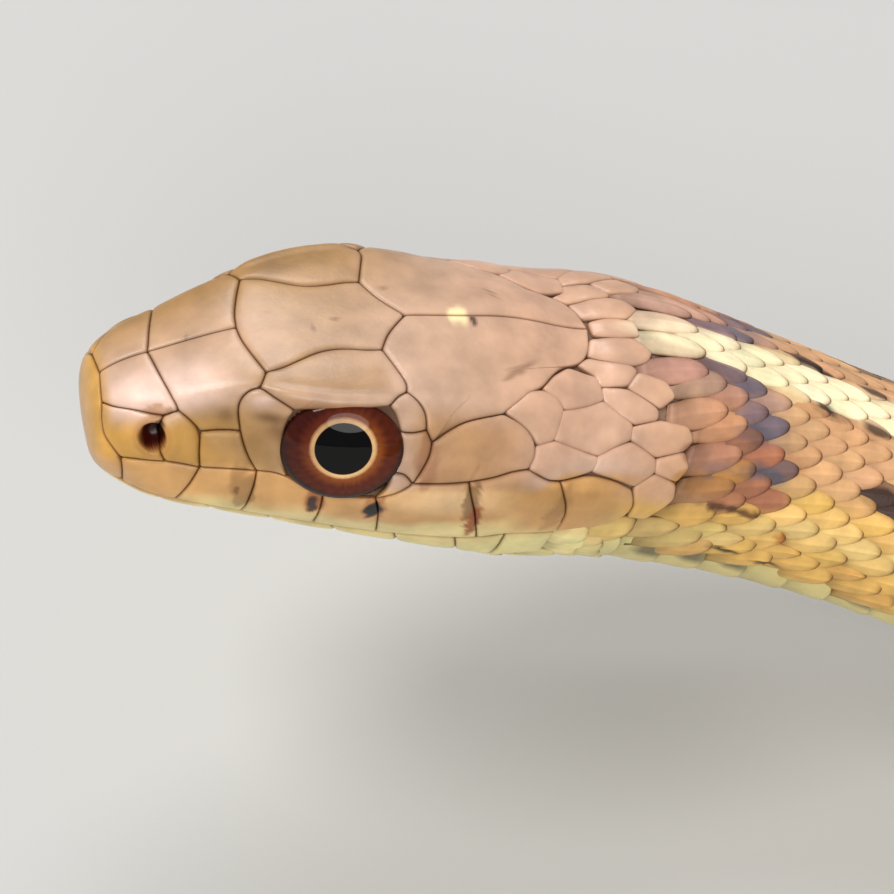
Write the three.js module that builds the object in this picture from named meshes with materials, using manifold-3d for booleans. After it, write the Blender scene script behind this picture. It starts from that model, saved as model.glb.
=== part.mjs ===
// A life-size garter snake at rest, head raised, its body laid in loose bends on the floor.
// Millimetres, +Z up. The snout points to -X and the belly lies on z = 0.
import * as THREE from "three";
import { mergeVertices } from "three/addons/utils/BufferGeometryUtils.js";
import Module from "manifold-3d";

// Driving sizes along the animal, measured from the tip of the snout.
const TOTAL_LENGTH = 640;
const HEAD_LENGTH = 23;
const VENT_AT = 490;
const HEAD_AXIS_HEIGHT = 22.8;
const GROUND_FROM = 104;
const GAP = 0.3;

// The route seen from above: [from, to, turn in degrees], each turn eased in and out.
const BENDS = [
  [15, 50, -30.5],
  [54, 76, 18],
  [76, 120, 32],
  [122, 215, -190],
  [222, 268, 40],
  [268, 330, 36],
  [326, 405, 112],
  [415, 470, -22],
  [470, 548, 102],
  [552, 640, -92],
];

// Height of the body's axis where the neck is off the floor: [along, height].
const AXIS_HEIGHT = [
  [0, HEAD_AXIS_HEIGHT],
  [17, 22.95],
  [22, 21.3],
  [30, 18.4],
  [39, 16.2],
  [50, 14.5],
  [60, 14.5],
  [70, 12.1],
  [80, 9.1],
  [92, 6.9],
];

// Half the body's width, and its height as a share of its width: [along, value].
const HALF_WIDTH = [
  [20, 7.2],
  [26, 6.6],
  [33, 5.9],
  [42, 5.75],
  [52, 5.7],
  [64, 5.85],
  [85, 6.5],
  [130, 7.2],
  [200, 7.9],
  [280, 8.2],
  [370, 7.8],
  [440, 6.7],
  [480, 5.6],
  [VENT_AT, 5.1],
  [500, 4.7],
  [540, 3.6],
  [590, 2.1],
  [625, 1.0],
  [TOTAL_LENGTH, 0.35],
];
const HEIGHT_SHARE = [
  [20, 0.79],
  [26, 0.87],
  [33, 0.94],
  [42, 0.87],
  [64, 0.91],
  [280, 0.88],
  [VENT_AT, 0.9],
  [TOTAL_LENGTH, 1],
];
const BACK_ROUNDNESS = 2.1;
const BELLY_ROUNDNESS = 2.9;
const BELLY_FLAT = 0.955;

// The belly's scutes: each swells toward its rear edge, then steps in to the next.
const SCUTES = { from: 26, pitch: 6.2, rise: 0.035, step: 0.07 };

// The head's own section lines, from crown to chin: half width and height over the axis at each station.
const STATIONS = [0, 2.5, 6.5, 10, 13.5, 17, 20, 24];
const HEAD_LINES = {
  crown: { y: [0, 0, 0, 0, 0, 0, 0, 0], z: [3.6, 4.15, 5.0, 5.0, 4.6, 4.2, 4.1, 4.4] },
  brow: {
    y: [2.0, 2.5, 3.25, 4.3, 4.5, 4.6, 4.65, 4.5],
    z: [3.2, 3.65, 4.75, 4.65, 4.25, 3.1, 3.1, 3.7],
  },
  cheek: {
    y: [3.4, 3.6, 4.65, 6.0, 6.65, 7.0, 7.1, 6.8],
    z: [1.3, 1.2, 1.1, 0.7, 0.5, 0.4, 0.4, 0.6],
  },
  lip: {
    y: [2.4, 3.7, 4.7, 5.6, 6.4, 7.0, 7.15, 6.8],
    z: [-0.65, -0.75, -1.45, -1.95, -2.1, -2.2, -2.1, -1.9],
  },
  jaw: {
    y: [1.6, 2.6, 3.5, 4.3, 5.1, 5.8, 6.0, 5.6],
    z: [-1.2, -1.75, -2.9, -3.8, -4.5, -4.9, -4.8, -4.8],
  },
  chin: { y: [0, 0, 0, 0, 0, 0, 0, 0], z: [-1.3, -1.95, -3.2, -4.1, -4.8, -5.2, -5.4, -5.5] },
};
const LINE_NAMES = Object.keys(HEAD_LINES);
const NOSE_DEPTH = 3;
const NOSE_BLUNTNESS = 4;
// How sharply the section turns at each line: 0 is a free curve, 1 a corner.
const LINE_SHARPNESS = [0, 0.45, 0.15, 0.35, 0, 0];
const BODY_ANGLES = [0, 42, 80, 108, 140, 180];
const BLEND_FROM = 19;
const BLEND_TO = 27;

// The eye, nostril and mouth, in the head's frame with z over its axis.
const EYE = { x: 10.1, y: 4.0, z: 2.1, long: 2.7, deep: 2.0, tall: 2.2, yaw: 13, pitch: 18 };
const NOSTRIL = { x: 2.4, y: 2.9, z: 2.45, radius: 0.55, depth: 1.3 };
const MOUTH_CORNER = 20.8;
const JAW_INSET = 0.2;

// Corners of the head's plates on one side: [along the head, around it from crown 0 over brow 1,
// cheek 2 and lip 3 to chin 5].
const CORNERS = {
  rostral_top: [0.6, 0],
  rostral_side: [0.4, 0.85],
  rostral_foot: [1.0, 2],
  rostral_lip: [1.0, 2.9],
  internasal_back: [2.6, 0],
  nasal_top: [2.8, 1.2],
  nasal_foot: [2.9, 2],
  nasal_back: [3.3, 1.15],
  loreal_top_front: [4.15, 1.5],
  loreal_foot_front: [4.25, 2],
  loreal_top_back: [5.7, 1.45],
  loreal_foot_back: [6.5, 2],
  frontal_front: [6.4, 0],
  frontal_corner: [7.05, 0.7],
  frontal_waist: [9.7, 0.47],
  frontal_side: [12.3, 0.4],
  frontal_back: [13.7, 0],
  brow_front: [6.8, 1],
  brow_back: [12.85, 0.96],
  postocular_top: [13.4, 1.28],
  postocular_middle: [12.95, 1.72],
  postocular_foot: [12.5, 1.95],
  eye_back_high: [12.2, 1.35],
  eye_back_low: [12.0, 1.7],
  eye_foot_front: [8.0, 2.05],
  eye_foot_back: [11.5, 2.02],
  temporal_front: [13.75, 1.42],
  temporal_bend: [15.3, 1.24],
  temporal_top: [17.2, 1.0],
  temporal_back: [18.3, 1.48],
  temporal_foot: [18.5, 1.95],
  parietal_corner: [20.6, 0.46],
  parietal_back: [21.4, 0],
  labial_foot_12: [3.1, 2.92],
  labial_foot_23: [5.7, 2.92],
  labial_top_34: [9, 2.1],
  labial_foot_34: [9, 2.92],
  labial_foot_45: [11.7, 2.92],
  labial_top_56: [15.4, 1.9],
  labial_foot_56: [16, 2.92],
  labial_foot_67: [19.2, 2.92],
  labial_top_back: [22, 2.12],
  second_temporal_top: [18.6, 0.76],
  second_temporal_back: [19.5, 0.98],
  second_temporal_foot: [19.2, 1.38],
  second_temporal_labial: [19.8, 2.02],
};
const HEAD_SEAMS = [
  ["rostral_top", "rostral_side", "rostral_foot", "rostral_lip"],
  ["rostral_top", "internasal_back", "frontal_front"],
  ["rostral_side", "nasal_top", "nasal_back"],
  ["internasal_back", "nasal_back", "loreal_top_front", "loreal_foot_front"],
  ["nasal_top", "nasal_foot"],
  ["rostral_foot", "nasal_foot", "loreal_foot_front", "loreal_foot_back", "eye_foot_front"],
  ["loreal_top_front", "loreal_top_back", "loreal_foot_back"],
  ["loreal_top_back", "brow_front", "frontal_corner", "frontal_front"],
  ["frontal_corner", "frontal_waist", "frontal_side", "frontal_back"],
  ["frontal_side", "brow_back"],
  ["frontal_back", "parietal_back"],
  ["brow_back", "postocular_top", "temporal_front", "postocular_middle", "postocular_foot", "eye_foot_back"],
  ["postocular_top", "eye_back_high"],
  ["postocular_middle", "eye_back_low"],
  ["temporal_front", "temporal_bend", "temporal_top", "parietal_corner", "parietal_back"],
  ["temporal_top", "temporal_back", "temporal_foot"],
  ["temporal_top", "second_temporal_top", "second_temporal_back", "second_temporal_foot"],
  ["temporal_back", "second_temporal_foot", "second_temporal_labial"],
  ["postocular_foot", "labial_top_56", "temporal_foot", "second_temporal_labial", "labial_top_back"],
  ["loreal_foot_front", "labial_foot_12"],
  ["loreal_foot_back", "labial_foot_23"],
  ["labial_top_34", "labial_foot_34"],
  ["eye_foot_back", "labial_foot_45"],
  ["labial_top_56", "labial_foot_56"],
  ["temporal_foot", "labial_foot_67"],
];

// The lower jaw's plates: a mental at the tip, a row along the lip and two pairs of chin shields.
const LOWER_LABIAL_ENDS = [2.3, 4.4, 7.0, 9.8, 12.6, 15.4, 18];
const JAW_SEAMS = [
  [[1.4, 2.9], [2.3, 3.65], [2.9, 5]],
  [[2.3, 3.65], [7, 3.75], [12.5, 3.8], [18.6, 3.75]],
  ...LOWER_LABIAL_ENDS.slice(1).map((x) => [[x, 2.9], [x + 0.7, 3.78]]),
  [[2.9, 5], [8.8, 5], [14.6, 5]],
  [[3.2, 4.3], [8, 4.25], [8.8, 5]],
  [[8, 4.25], [13.4, 4.35], [14.6, 5]],
];
const GROOVE = { half: 0.16, depth: 0.26, lift: 0.2, step: 1.1 };

const ease = (t) => {
  const u = Math.min(1, Math.max(0, t));
  return u * u * (3 - 2 * u);
};

// A smooth curve through knots, held level past either end.
function along(knots, at) {
  const n = knots.length;
  if (at <= knots[0][0]) return knots[0][1];
  if (at >= knots[n - 1][0]) return knots[n - 1][1];
  let i = 0;
  while (at > knots[i + 1][0]) i++;
  const slope = (k) => {
    if (k === 0 || k === n - 1) return 0;
    return (knots[k + 1][1] - knots[k - 1][1]) / (knots[k + 1][0] - knots[k - 1][0]);
  };
  const [x0, y0] = knots[i];
  const [x1, y1] = knots[i + 1];
  const h = x1 - x0;
  const t = (at - x0) / h;
  const a = y0 * (1 + 2 * t) * (1 - t) ** 2 + slope(i) * h * t * (1 - t) ** 2;
  return a + y1 * t * t * (3 - 2 * t) + slope(i + 1) * h * t * t * (t - 1);
}

const halfWidth = (s) => along(HALF_WIDTH, s);
const halfHeight = (s) => halfWidth(s) * along(HEIGHT_SHARE, s);
const restHeight = (s) => halfHeight(s) * BELLY_FLAT;
const axisHeight = (s) => {
  if (s >= GROUND_FROM) return restHeight(s);
  return along([...AXIS_HEIGHT, [GROUND_FROM, restHeight(GROUND_FROM)]], s);
};
const heading = (s) =>
  BENDS.reduce((sum, [a, b, turn]) => sum + turn * ease((s - a) / (b - a)), 0) * (Math.PI / 180);

// The axis in small steps, so that a place along the animal is a true length.
const STEP = 0.25;
const route = [[0, 0]];
for (let s = STEP; s <= TOTAL_LENGTH + STEP; s += STEP) {
  const rise = axisHeight(s) - axisHeight(s - STEP);
  const level = Math.sqrt(STEP * STEP - rise * rise);
  const [x, y] = route[route.length - 1];
  const way = heading(s - STEP / 2);
  route.push([x + level * Math.cos(way), y + level * Math.sin(way)]);
}

// The place and the cross directions at a length along the axis.
function frameAt(s) {
  const k = Math.min(route.length - 2, Math.max(0, Math.floor(s / STEP)));
  const f = s / STEP - k;
  const x = route[k][0] + (route[k + 1][0] - route[k][0]) * f;
  const y = route[k][1] + (route[k + 1][1] - route[k][1]) * f;
  const raised = s > STEP && s < GROUND_FROM;
  const climb = raised ? (axisHeight(s + STEP) - axisHeight(s - STEP)) / (2 * STEP) : 0;
  const level = Math.sqrt(1 - climb * climb);
  const way = heading(s);
  const tangent = new THREE.Vector3(level * Math.cos(way), level * Math.sin(way), climb);
  const right = new THREE.Vector3(-Math.sin(way), Math.cos(way), 0);
  const up = new THREE.Vector3().crossVectors(tangent, right);
  return { place: new THREE.Vector3(x, y, axisHeight(s)), tangent, right, up };
}

// The share of the full section that the blunt nose has reached.
function noseShare(s) {
  if (s >= NOSE_DEPTH) return 1;
  return (1 - (1 - s / NOSE_DEPTH) ** NOSE_BLUNTNESS) ** (1 / NOSE_BLUNTNESS);
}

// One side of the head's section, 0 at the crown to 5 at the chin, as [half width, height].
function headSection(s, v) {
  const at = (index, key) => {
    const mirrored = index < 0 || index > 5;
    const k = index < 0 ? 1 : index > 5 ? 4 : index;
    const values = HEAD_LINES[LINE_NAMES[k]][key];
    const value = along(STATIONS.map((x, j) => [x, values[j]]), s);
    return mirrored && key === "y" ? -value : value;
  };
  const i = Math.min(4, Math.floor(v));
  const t = v - i;
  const through = (key) => {
    const [a, b, c, d] = [at(i - 1, key), at(i, key), at(i + 1, key), at(i + 2, key)];
    const leave = ((1 - LINE_SHARPNESS[i]) * (c - a)) / 2;
    const arrive = ((1 - LINE_SHARPNESS[i + 1]) * (d - b)) / 2;
    const ends = b * (1 + 2 * t) * (1 - t) ** 2 + c * t * t * (3 - 2 * t);
    return ends + leave * t * (1 - t) ** 2 + arrive * t * t * (t - 1);
  };
  return [through("y") * noseShare(s), through("z") * noseShare(s)];
}

// How far the belly has stepped in: 0 at a scute's rear edge, 1 just behind it.
function scuteDip(s) {
  if (s < SCUTES.from) return 0;
  const t = ((s - SCUTES.from) / SCUTES.pitch) % 1;
  return t < SCUTES.step ? t / SCUTES.step : (1 - t) / (1 - SCUTES.step);
}

// The same for the body: a round back over a flatter belly.
function bodySection(s, v) {
  const i = Math.min(4, Math.floor(v));
  const degrees = BODY_ANGLES[i] + (BODY_ANGLES[i + 1] - BODY_ANGLES[i]) * (v - i);
  const angle = (degrees * Math.PI) / 180;
  const power = 2 / (degrees < 90 ? BACK_ROUNDNESS : BELLY_ROUNDNESS);
  const share = 1 - SCUTES.rise * scuteDip(s) * ease(2 * v - 5);
  const y = halfWidth(s) * share * Math.sin(angle) ** power;
  const cos = Math.cos(angle);
  const z = halfHeight(s) * share * Math.sign(cos) * Math.abs(cos) ** power;
  return [y, Math.max(z, -restHeight(s))];
}

function section(s, v) {
  const share = ease((s - BLEND_FROM) / (BLEND_TO - BLEND_FROM));
  if (share === 0) return headSection(s, v);
  if (share === 1) return bodySection(s, v);
  const [a, b] = [headSection(s, v), bodySection(s, v)];
  return [a[0] + (b[0] - a[0]) * share, a[1] + (b[1] - a[1]) * share];
}

// A point of the skin: side is -1 on the left and 1 on the right.
function skin(s, v, side, inset = 0) {
  const { place, right, up } = frameAt(s);
  const [y, z] = section(s, v);
  const width = Math.max(0, y - (y > inset ? inset : 0));
  return place.clone().addScaledVector(right, side * width).addScaledVector(up, z);
}

const onMidline = (v) => v === 0 || v === 5;

// The way out of the skin at a point.
const NUDGE = 0.02;
function outward(s, v, side) {
  const at = Math.min(5 - NUDGE, Math.max(NUDGE, v));
  const lengthwise = skin(s + NUDGE, at, side).sub(skin(Math.max(NUDGE, s - NUDGE), at, side));
  const around = skin(s, at + NUDGE, side).sub(skin(s, at - NUDGE, side));
  const out = around.cross(lengthwise).multiplyScalar(-side);
  const { right } = frameAt(s);
  if (onMidline(v)) out.addScaledVector(right, -out.dot(right));
  return out.normalize();
}

// Rings of the skin at the given lengths, closed at both ends.
function loft(lengths, steps, inset = 0) {
  const around = 2 * steps;
  const points = [];
  for (const s of lengths) {
    for (let k = 0; k < around; k++) {
      const v = (5 * (k <= steps ? k : around - k)) / steps;
      points.push(skin(s, v, k <= steps ? -1 : 1, inset));
    }
  }
  const ends = [lengths[0], lengths[lengths.length - 1]];
  for (const s of ends) points.push(frameAt(s).place);
  const faces = [];
  const rings = lengths.length;
  for (let i = 0; i < rings - 1; i++) {
    for (let k = 0; k < around; k++) {
      const next = (k + 1) % around;
      const [a, b] = [i * around + k, i * around + next];
      const [c, d] = [a + around, b + around];
      faces.push(a, b, c, b, d, c);
    }
  }
  const [front, back] = [rings * around, rings * around + 1];
  for (let k = 0; k < around; k++) {
    const next = (k + 1) % around;
    faces.push(front, next, k);
    faces.push(back, (rings - 1) * around + k, (rings - 1) * around + next);
  }
  const geometry = new THREE.BufferGeometry().setFromPoints(points);
  geometry.setIndex(faces);
  return geometry;
}

const wasm = await Module();
wasm.setup();

function solid(geometry) {
  const bare = geometry.index ? geometry.toNonIndexed() : geometry.clone();
  for (const name of ["normal", "uv"]) bare.deleteAttribute(name);
  const merged = mergeVertices(bare, 1e-4);
  return new wasm.Manifold(
    new wasm.Mesh({
      numProp: 3,
      vertProperties: merged.attributes.position.array,
      triVerts: new Uint32Array(merged.index.array),
    }),
  );
}

// The largest closed surface of a solid, back as a geometry.
function geometryOf(manifold) {
  const bodies = manifold.decompose();
  bodies.sort((a, b) => b.volume() - a.volume());
  const mesh = bodies[0].getMesh();
  const geometry = new THREE.BufferGeometry();
  const places = new Float32Array(mesh.vertProperties);
  geometry.setAttribute("position", new THREE.BufferAttribute(places, 3));
  geometry.setIndex(new THREE.BufferAttribute(new Uint32Array(mesh.triVerts), 1));
  return geometry;
}

// A V-shaped strip along a line on the skin, to be cut from it.
function grooveStrip(corners, side, inset) {
  const path = [];
  for (let i = 0; i < corners.length - 1; i++) {
    const [[x0, v0], [x1, v1]] = [corners[i], corners[i + 1]];
    const reach = skin(x0, v0, side).distanceTo(skin(x1, v1, side));
    const steps = Math.max(1, Math.round(reach / GROOVE.step));
    for (let j = i === 0 ? 0 : 1; j <= steps; j++) {
      path.push([x0 + ((x1 - x0) * j) / steps, v0 + ((v1 - v0) * j) / steps]);
    }
  }
  const places = path.map(([x, v]) => skin(x, v, side, inset));
  const points = [];
  path.forEach(([x, v], i) => {
    const out = outward(x, v, side);
    const before = places[Math.max(0, i - 1)];
    const after = places[Math.min(places.length - 1, i + 1)];
    const across = new THREE.Vector3().crossVectors(out, after.clone().sub(before)).normalize();
    const reach = GROOVE.half * (1 + GROOVE.lift / GROOVE.depth);
    const low = places[i].clone().addScaledVector(out, -GROOVE.depth);
    const high = places[i].clone().addScaledVector(out, GROOVE.lift);
    points.push(low, high.clone().addScaledVector(across, reach), high.addScaledVector(across, -reach));
  });
  const faces = [0, 2, 1];
  for (let i = 0; i < path.length - 1; i++) {
    for (let k = 0; k < 3; k++) {
      const [a, b] = [3 * i + k, 3 * i + ((k + 1) % 3)];
      faces.push(a, b, a + 3, b, b + 3, a + 3);
    }
  }
  const last = 3 * (path.length - 1);
  faces.push(last, last + 1, last + 2);
  const strip = new THREE.BufferGeometry().setFromPoints(points);
  strip.setIndex(faces);
  return solid(strip);
}

// All the strips of a set of seams, on both sides; a seam along the midline is made once.
function grooves(seams, inset = 0) {
  const strips = [];
  for (const line of seams) {
    const corners = line.map((corner) => (typeof corner === "string" ? CORNERS[corner] : corner));
    const sides = corners.every(([, v]) => onMidline(v)) ? [-1] : [-1, 1];
    for (const side of sides) strips.push(grooveStrip(corners, side, inset));
  }
  return strips.reduce((sum, strip) => sum.add(strip));
}

const paint = (color, roughness) =>
  new THREE.MeshStandardMaterial({ color, roughness, metalness: 0 });
const MATERIALS = {
  head: paint(0x9c7a5c, 0.45),
  jaw: paint(0xd9cfa4, 0.5),
  eye: paint(0x2a120c, 0.08),
  body: paint(0xa5784e, 0.55),
};

const snake = new THREE.Group();
function place(name, geometry, material) {
  geometry.computeVertexNormals();
  const mesh = new THREE.Mesh(geometry, material);
  mesh.name = name;
  snake.add(mesh);
}

// Stations of the head, close together over the blunt nose.
const NOSE_RINGS = 6;
const HEAD_STEP = 1.1;
function headLengths(to) {
  const lengths = [];
  for (let j = 1; j <= NOSE_RINGS; j++) {
    const share = (j / NOSE_RINGS) ** NOSE_BLUNTNESS;
    lengths.push(NOSE_DEPTH * (1 - (1 - share) ** (1 / NOSE_BLUNTNESS)));
  }
  const count = Math.round((to - NOSE_DEPTH) / HEAD_STEP);
  for (let j = 1; j <= count; j++) lengths.push(NOSE_DEPTH + ((to - NOSE_DEPTH) * j) / count);
  return lengths;
}

// Everything under the line of the mouth, as a prism across the head.
function underMouth(shift) {
  const lipHeight = (s) => HEAD_AXIS_HEIGHT + headSection(s, 3)[1] + shift;
  const outline = new THREE.Shape();
  outline.moveTo(-2, lipHeight(0.4));
  for (const s of [0.4, 1, 2, 3, 5, 7.5, 10, 13, 16, 18.5]) outline.lineTo(s, lipHeight(s));
  outline.lineTo(MOUTH_CORNER + shift, lipHeight(MOUTH_CORNER));
  outline.lineTo(MOUTH_CORNER - 1 + shift, 0);
  outline.lineTo(-2, 0);
  const prism = new THREE.ExtrudeGeometry(outline, { depth: 30, bevelEnabled: false });
  prism.translate(0, 0, -15);
  prism.rotateX(Math.PI / 2);
  return solid(prism);
}

// An eyeball, turned to look outward, a little forward and up, and grown by a margin for its socket.
function eyeball(side, margin, detail) {
  const ball = new THREE.SphereGeometry(1, detail, detail / 2);
  ball.rotateX(Math.PI / 2);
  ball.scale(EYE.long + margin, EYE.deep + margin, EYE.tall + margin);
  ball.rotateX(side * THREE.MathUtils.degToRad(EYE.pitch));
  ball.rotateZ(side * THREE.MathUtils.degToRad(EYE.yaw));
  ball.translate(EYE.x, side * EYE.y, HEAD_AXIS_HEIGHT + EYE.z);
  return solid(ball);
}

// A tapered pit that opens outward and a little back.
function nostrilPit(side) {
  const cone = new THREE.CylinderGeometry(NOSTRIL.radius * 1.5, NOSTRIL.radius * 0.6, 2 * NOSTRIL.depth, 10);
  const out = new THREE.Vector3(0.1, side * 0.95, 0.25).normalize();
  cone.applyQuaternion(new THREE.Quaternion().setFromUnitVectors(new THREE.Vector3(0, 1, 0), out));
  cone.translate(NOSTRIL.x, side * NOSTRIL.y, HEAD_AXIS_HEIGHT + NOSTRIL.z);
  return solid(cone);
}

const HEAD_SIDES = 17;
function makeHead() {
  const end = HEAD_LENGTH - GAP / 2;
  let head = solid(loft(headLengths(end), HEAD_SIDES)).subtract(underMouth(GAP / 2));
  for (const side of [-1, 1]) {
    head = head.subtract(eyeball(side, GAP, 24)).subtract(nostrilPit(side));
    place(side < 0 ? "eye_left" : "eye_right", geometryOf(eyeball(side, 0, 18)), MATERIALS.eye);
  }
  head = head.subtract(grooves(HEAD_SEAMS));
  place("head", geometryOf(head), MATERIALS.head);
  const chin = solid(loft(headLengths(end), HEAD_SIDES, JAW_INSET));
  const jaw = chin.intersect(underMouth(-GAP / 2)).subtract(grooves(JAW_SEAMS, JAW_INSET));
  place("lower_jaw", geometryOf(jaw), MATERIALS.jaw);
}

// The trunk and tail in named lengths, with a thin gap at each cut.
const BODY_SIDES = 9;
const BODY_LENGTHS = 10;
const NECK_END = 62;
function cuts() {
  const list = [["neck", HEAD_LENGTH, NECK_END]];
  const each = (VENT_AT - NECK_END) / BODY_LENGTHS;
  for (let i = 0; i < BODY_LENGTHS; i++) {
    list.push([`body_${i + 1}`, NECK_END + i * each, NECK_END + (i + 1) * each]);
  }
  const tail = (TOTAL_LENGTH - VENT_AT) / 3;
  ["tail_base", "tail_middle", "tail_tip"].forEach((name, i) =>
    list.push([name, VENT_AT + i * tail, VENT_AT + (i + 1) * tail]),
  );
  return list;
}

// A ring on each scute's rear edge and one in the step behind it, kept off the ends of the length.
function bodyLengths(first, last) {
  const lengths = [first];
  for (let edge = SCUTES.from; edge < last; edge += SCUTES.pitch) {
    for (const at of [edge, edge + SCUTES.step * SCUTES.pitch]) {
      if (at > first + GAP && at < last - GAP) lengths.push(at);
    }
  }
  lengths.push(last);
  return lengths;
}

function makeBody() {
  for (const [name, from, to] of cuts()) {
    const last = to === TOTAL_LENGTH ? to : to - GAP / 2;
    place(name, loft(bodyLengths(from + GAP / 2, last), BODY_SIDES), MATERIALS.body);
  }
}

makeHead();
makeBody();

// The origin is on the floor under the middle of the whole animal.
const extent = new THREE.Box3().setFromObject(snake);
const middle = extent.getCenter(new THREE.Vector3());
snake.position.set(-middle.x, -middle.y, -extent.min.z);

export default snake;
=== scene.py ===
import bpy
import numpy as np
from mathutils import Matrix, Vector


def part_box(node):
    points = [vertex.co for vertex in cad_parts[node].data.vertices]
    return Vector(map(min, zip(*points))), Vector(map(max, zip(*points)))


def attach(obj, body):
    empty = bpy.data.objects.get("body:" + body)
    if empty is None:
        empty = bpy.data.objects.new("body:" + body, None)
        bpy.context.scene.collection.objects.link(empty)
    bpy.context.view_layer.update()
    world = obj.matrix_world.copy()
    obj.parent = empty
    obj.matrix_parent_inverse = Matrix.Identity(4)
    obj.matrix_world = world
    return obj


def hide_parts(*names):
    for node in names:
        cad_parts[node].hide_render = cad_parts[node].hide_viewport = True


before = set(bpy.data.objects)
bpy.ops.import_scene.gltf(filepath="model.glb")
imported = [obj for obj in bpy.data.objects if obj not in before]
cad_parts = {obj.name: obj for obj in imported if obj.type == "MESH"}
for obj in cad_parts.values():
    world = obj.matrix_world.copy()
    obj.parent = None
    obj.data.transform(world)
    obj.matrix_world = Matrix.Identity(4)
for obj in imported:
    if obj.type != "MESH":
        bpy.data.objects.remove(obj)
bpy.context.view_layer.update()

# A life-size garter snake: a skin over the solid frame, the plates of the head and jaw, small throat scales,
# keeled scales, the belly's scutes and two eyes. Lengths are in millimetres until a mesh is built.
# A place on the animal is s, the distance along it from the snout, and w, the place around it:
# 0 at the crown, 5 at the chin and belly, positive on its left. v is w without its sign, for both sides.
MM = 0.001

# Sizes of the animal, the same as those of the solids. Tables are [along, value].
TOTAL_LENGTH = 640.0
VENT_AT = 490.0
GROUND_FROM = 104.0
HEAD_AXIS_HEIGHT = 22.8
EYE_CENTRE_X = 10.1
EYE_CENTRE_HEIGHT = 24.9
AXIS_HEIGHT = [
    (0, HEAD_AXIS_HEIGHT), (17, 22.95), (22, 21.3), (30, 18.4), (39, 16.2), (50, 14.5),
    (60, 14.5), (70, 12.1), (80, 9.1), (92, 6.9),
]
HALF_WIDTH = [
    (20, 7.2), (26, 6.6), (33, 5.9), (42, 5.75), (52, 5.7), (64, 5.85), (85, 6.5), (130, 7.2),
    (200, 7.9), (280, 8.2), (370, 7.8), (440, 6.7), (480, 5.6), (490, 5.1), (500, 4.7),
    (540, 3.6), (590, 2.1), (625, 1.0), (640, 0.35),
]
HEIGHT_SHARE = [
    (20, 0.79), (26, 0.87), (33, 0.94), (42, 0.87), (64, 0.91), (280, 0.88), (490, 0.9), (640, 1),
]
# Bends of the axis: where each starts and ends, and its turn in degrees.
BENDS = [
    (15, 50, -30.5), (54, 76, 18), (76, 120, 32), (122, 215, -190), (222, 268, 40),
    (268, 330, 36), (326, 405, 112), (415, 470, -22), (470, 548, 102), (552, 640, -92),
]
BACK_ROUNDNESS = 2.1
BELLY_ROUNDNESS = 2.9
BELLY_FLAT = 0.955

# The head's section lines from crown to chin: half width and height over the axis at each station.
STATIONS = [0, 2.5, 6.5, 10, 13.5, 17, 20, 24]
HEAD_LINES = [
    ([0] * 8, [3.6, 4.15, 5.0, 5.0, 4.6, 4.2, 4.1, 4.4]),
    ([2.0, 2.5, 3.25, 4.3, 4.5, 4.6, 4.65, 4.5], [3.2, 3.65, 4.75, 4.65, 4.25, 3.1, 3.1, 3.7]),
    ([3.4, 3.6, 4.65, 6.0, 6.65, 7.0, 7.1, 6.8], [1.3, 1.2, 1.1, 0.7, 0.5, 0.4, 0.4, 0.6]),
    ([2.4, 3.7, 4.7, 5.6, 6.4, 7.0, 7.15, 6.8], [-0.65, -0.75, -1.45, -1.95, -2.1, -2.2, -2.1, -1.9]),
    ([1.6, 2.6, 3.5, 4.3, 5.1, 5.8, 6.0, 5.6], [-1.2, -1.75, -2.9, -3.8, -4.5, -4.9, -4.8, -4.8]),
    ([0] * 8, [-1.3, -1.95, -3.2, -4.1, -4.8, -5.2, -5.4, -5.5]),
]
LINE_SHARPNESS = np.array([0, 0.45, 0.15, 0.35, 0, 0])
NOSE_DEPTH = 3.0
NOSE_BLUNTNESS = 4.0
# The body's section: the angle from the back at each whole v, and where the head's section gives way to it.
BODY_ANGLES = np.array([0, 42, 80, 108, 140, 180.0])
BLEND = (19, 27)


def ease(t):
    u = np.clip(t, 0, 1)
    return u * u * (3 - 2 * u)


def fall(x, reach):
    """1 at 0, easing to 0 at reach either way."""
    return 1 - ease(np.abs(x) / reach)


def between(x, start, rise, end, drop):
    """1 between start and end, easing up over rise and down over drop."""
    return ease((x - start) / rise) * ease((end - x) / drop)


def along(knots, at):
    """A smooth curve through knots, held level past either end."""
    xs = np.array([k[0] for k in knots], float)
    ys = np.array([k[1] for k in knots], float)
    at = np.clip(np.asarray(at, float), xs[0], xs[-1])
    slopes = np.zeros(len(xs))
    slopes[1:-1] = (ys[2:] - ys[:-2]) / (xs[2:] - xs[:-2])
    i = np.clip(np.searchsorted(xs, at, "left") - 1, 0, len(xs) - 2)
    h = xs[i + 1] - xs[i]
    t = (at - xs[i]) / h
    rising = ys[i] * (1 + 2 * t) * (1 - t) ** 2 + slopes[i] * h * t * (1 - t) ** 2
    return rising + ys[i + 1] * t * t * (3 - 2 * t) + slopes[i + 1] * h * t * t * (t - 1)


def half_width(s):
    return along(HALF_WIDTH, s)


def half_height(s):
    return half_width(s) * along(HEIGHT_SHARE, s)


def rest_height(s):
    return half_height(s) * BELLY_FLAT


RAISED = AXIS_HEIGHT + [(GROUND_FROM, float(rest_height(GROUND_FROM)))]


def axis_height(s):
    return np.where(s >= GROUND_FROM, rest_height(s), along(RAISED, s))


def heading(s):
    return np.radians(sum(turn * ease((s - a) / (b - a)) for a, b, turn in BENDS))


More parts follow.
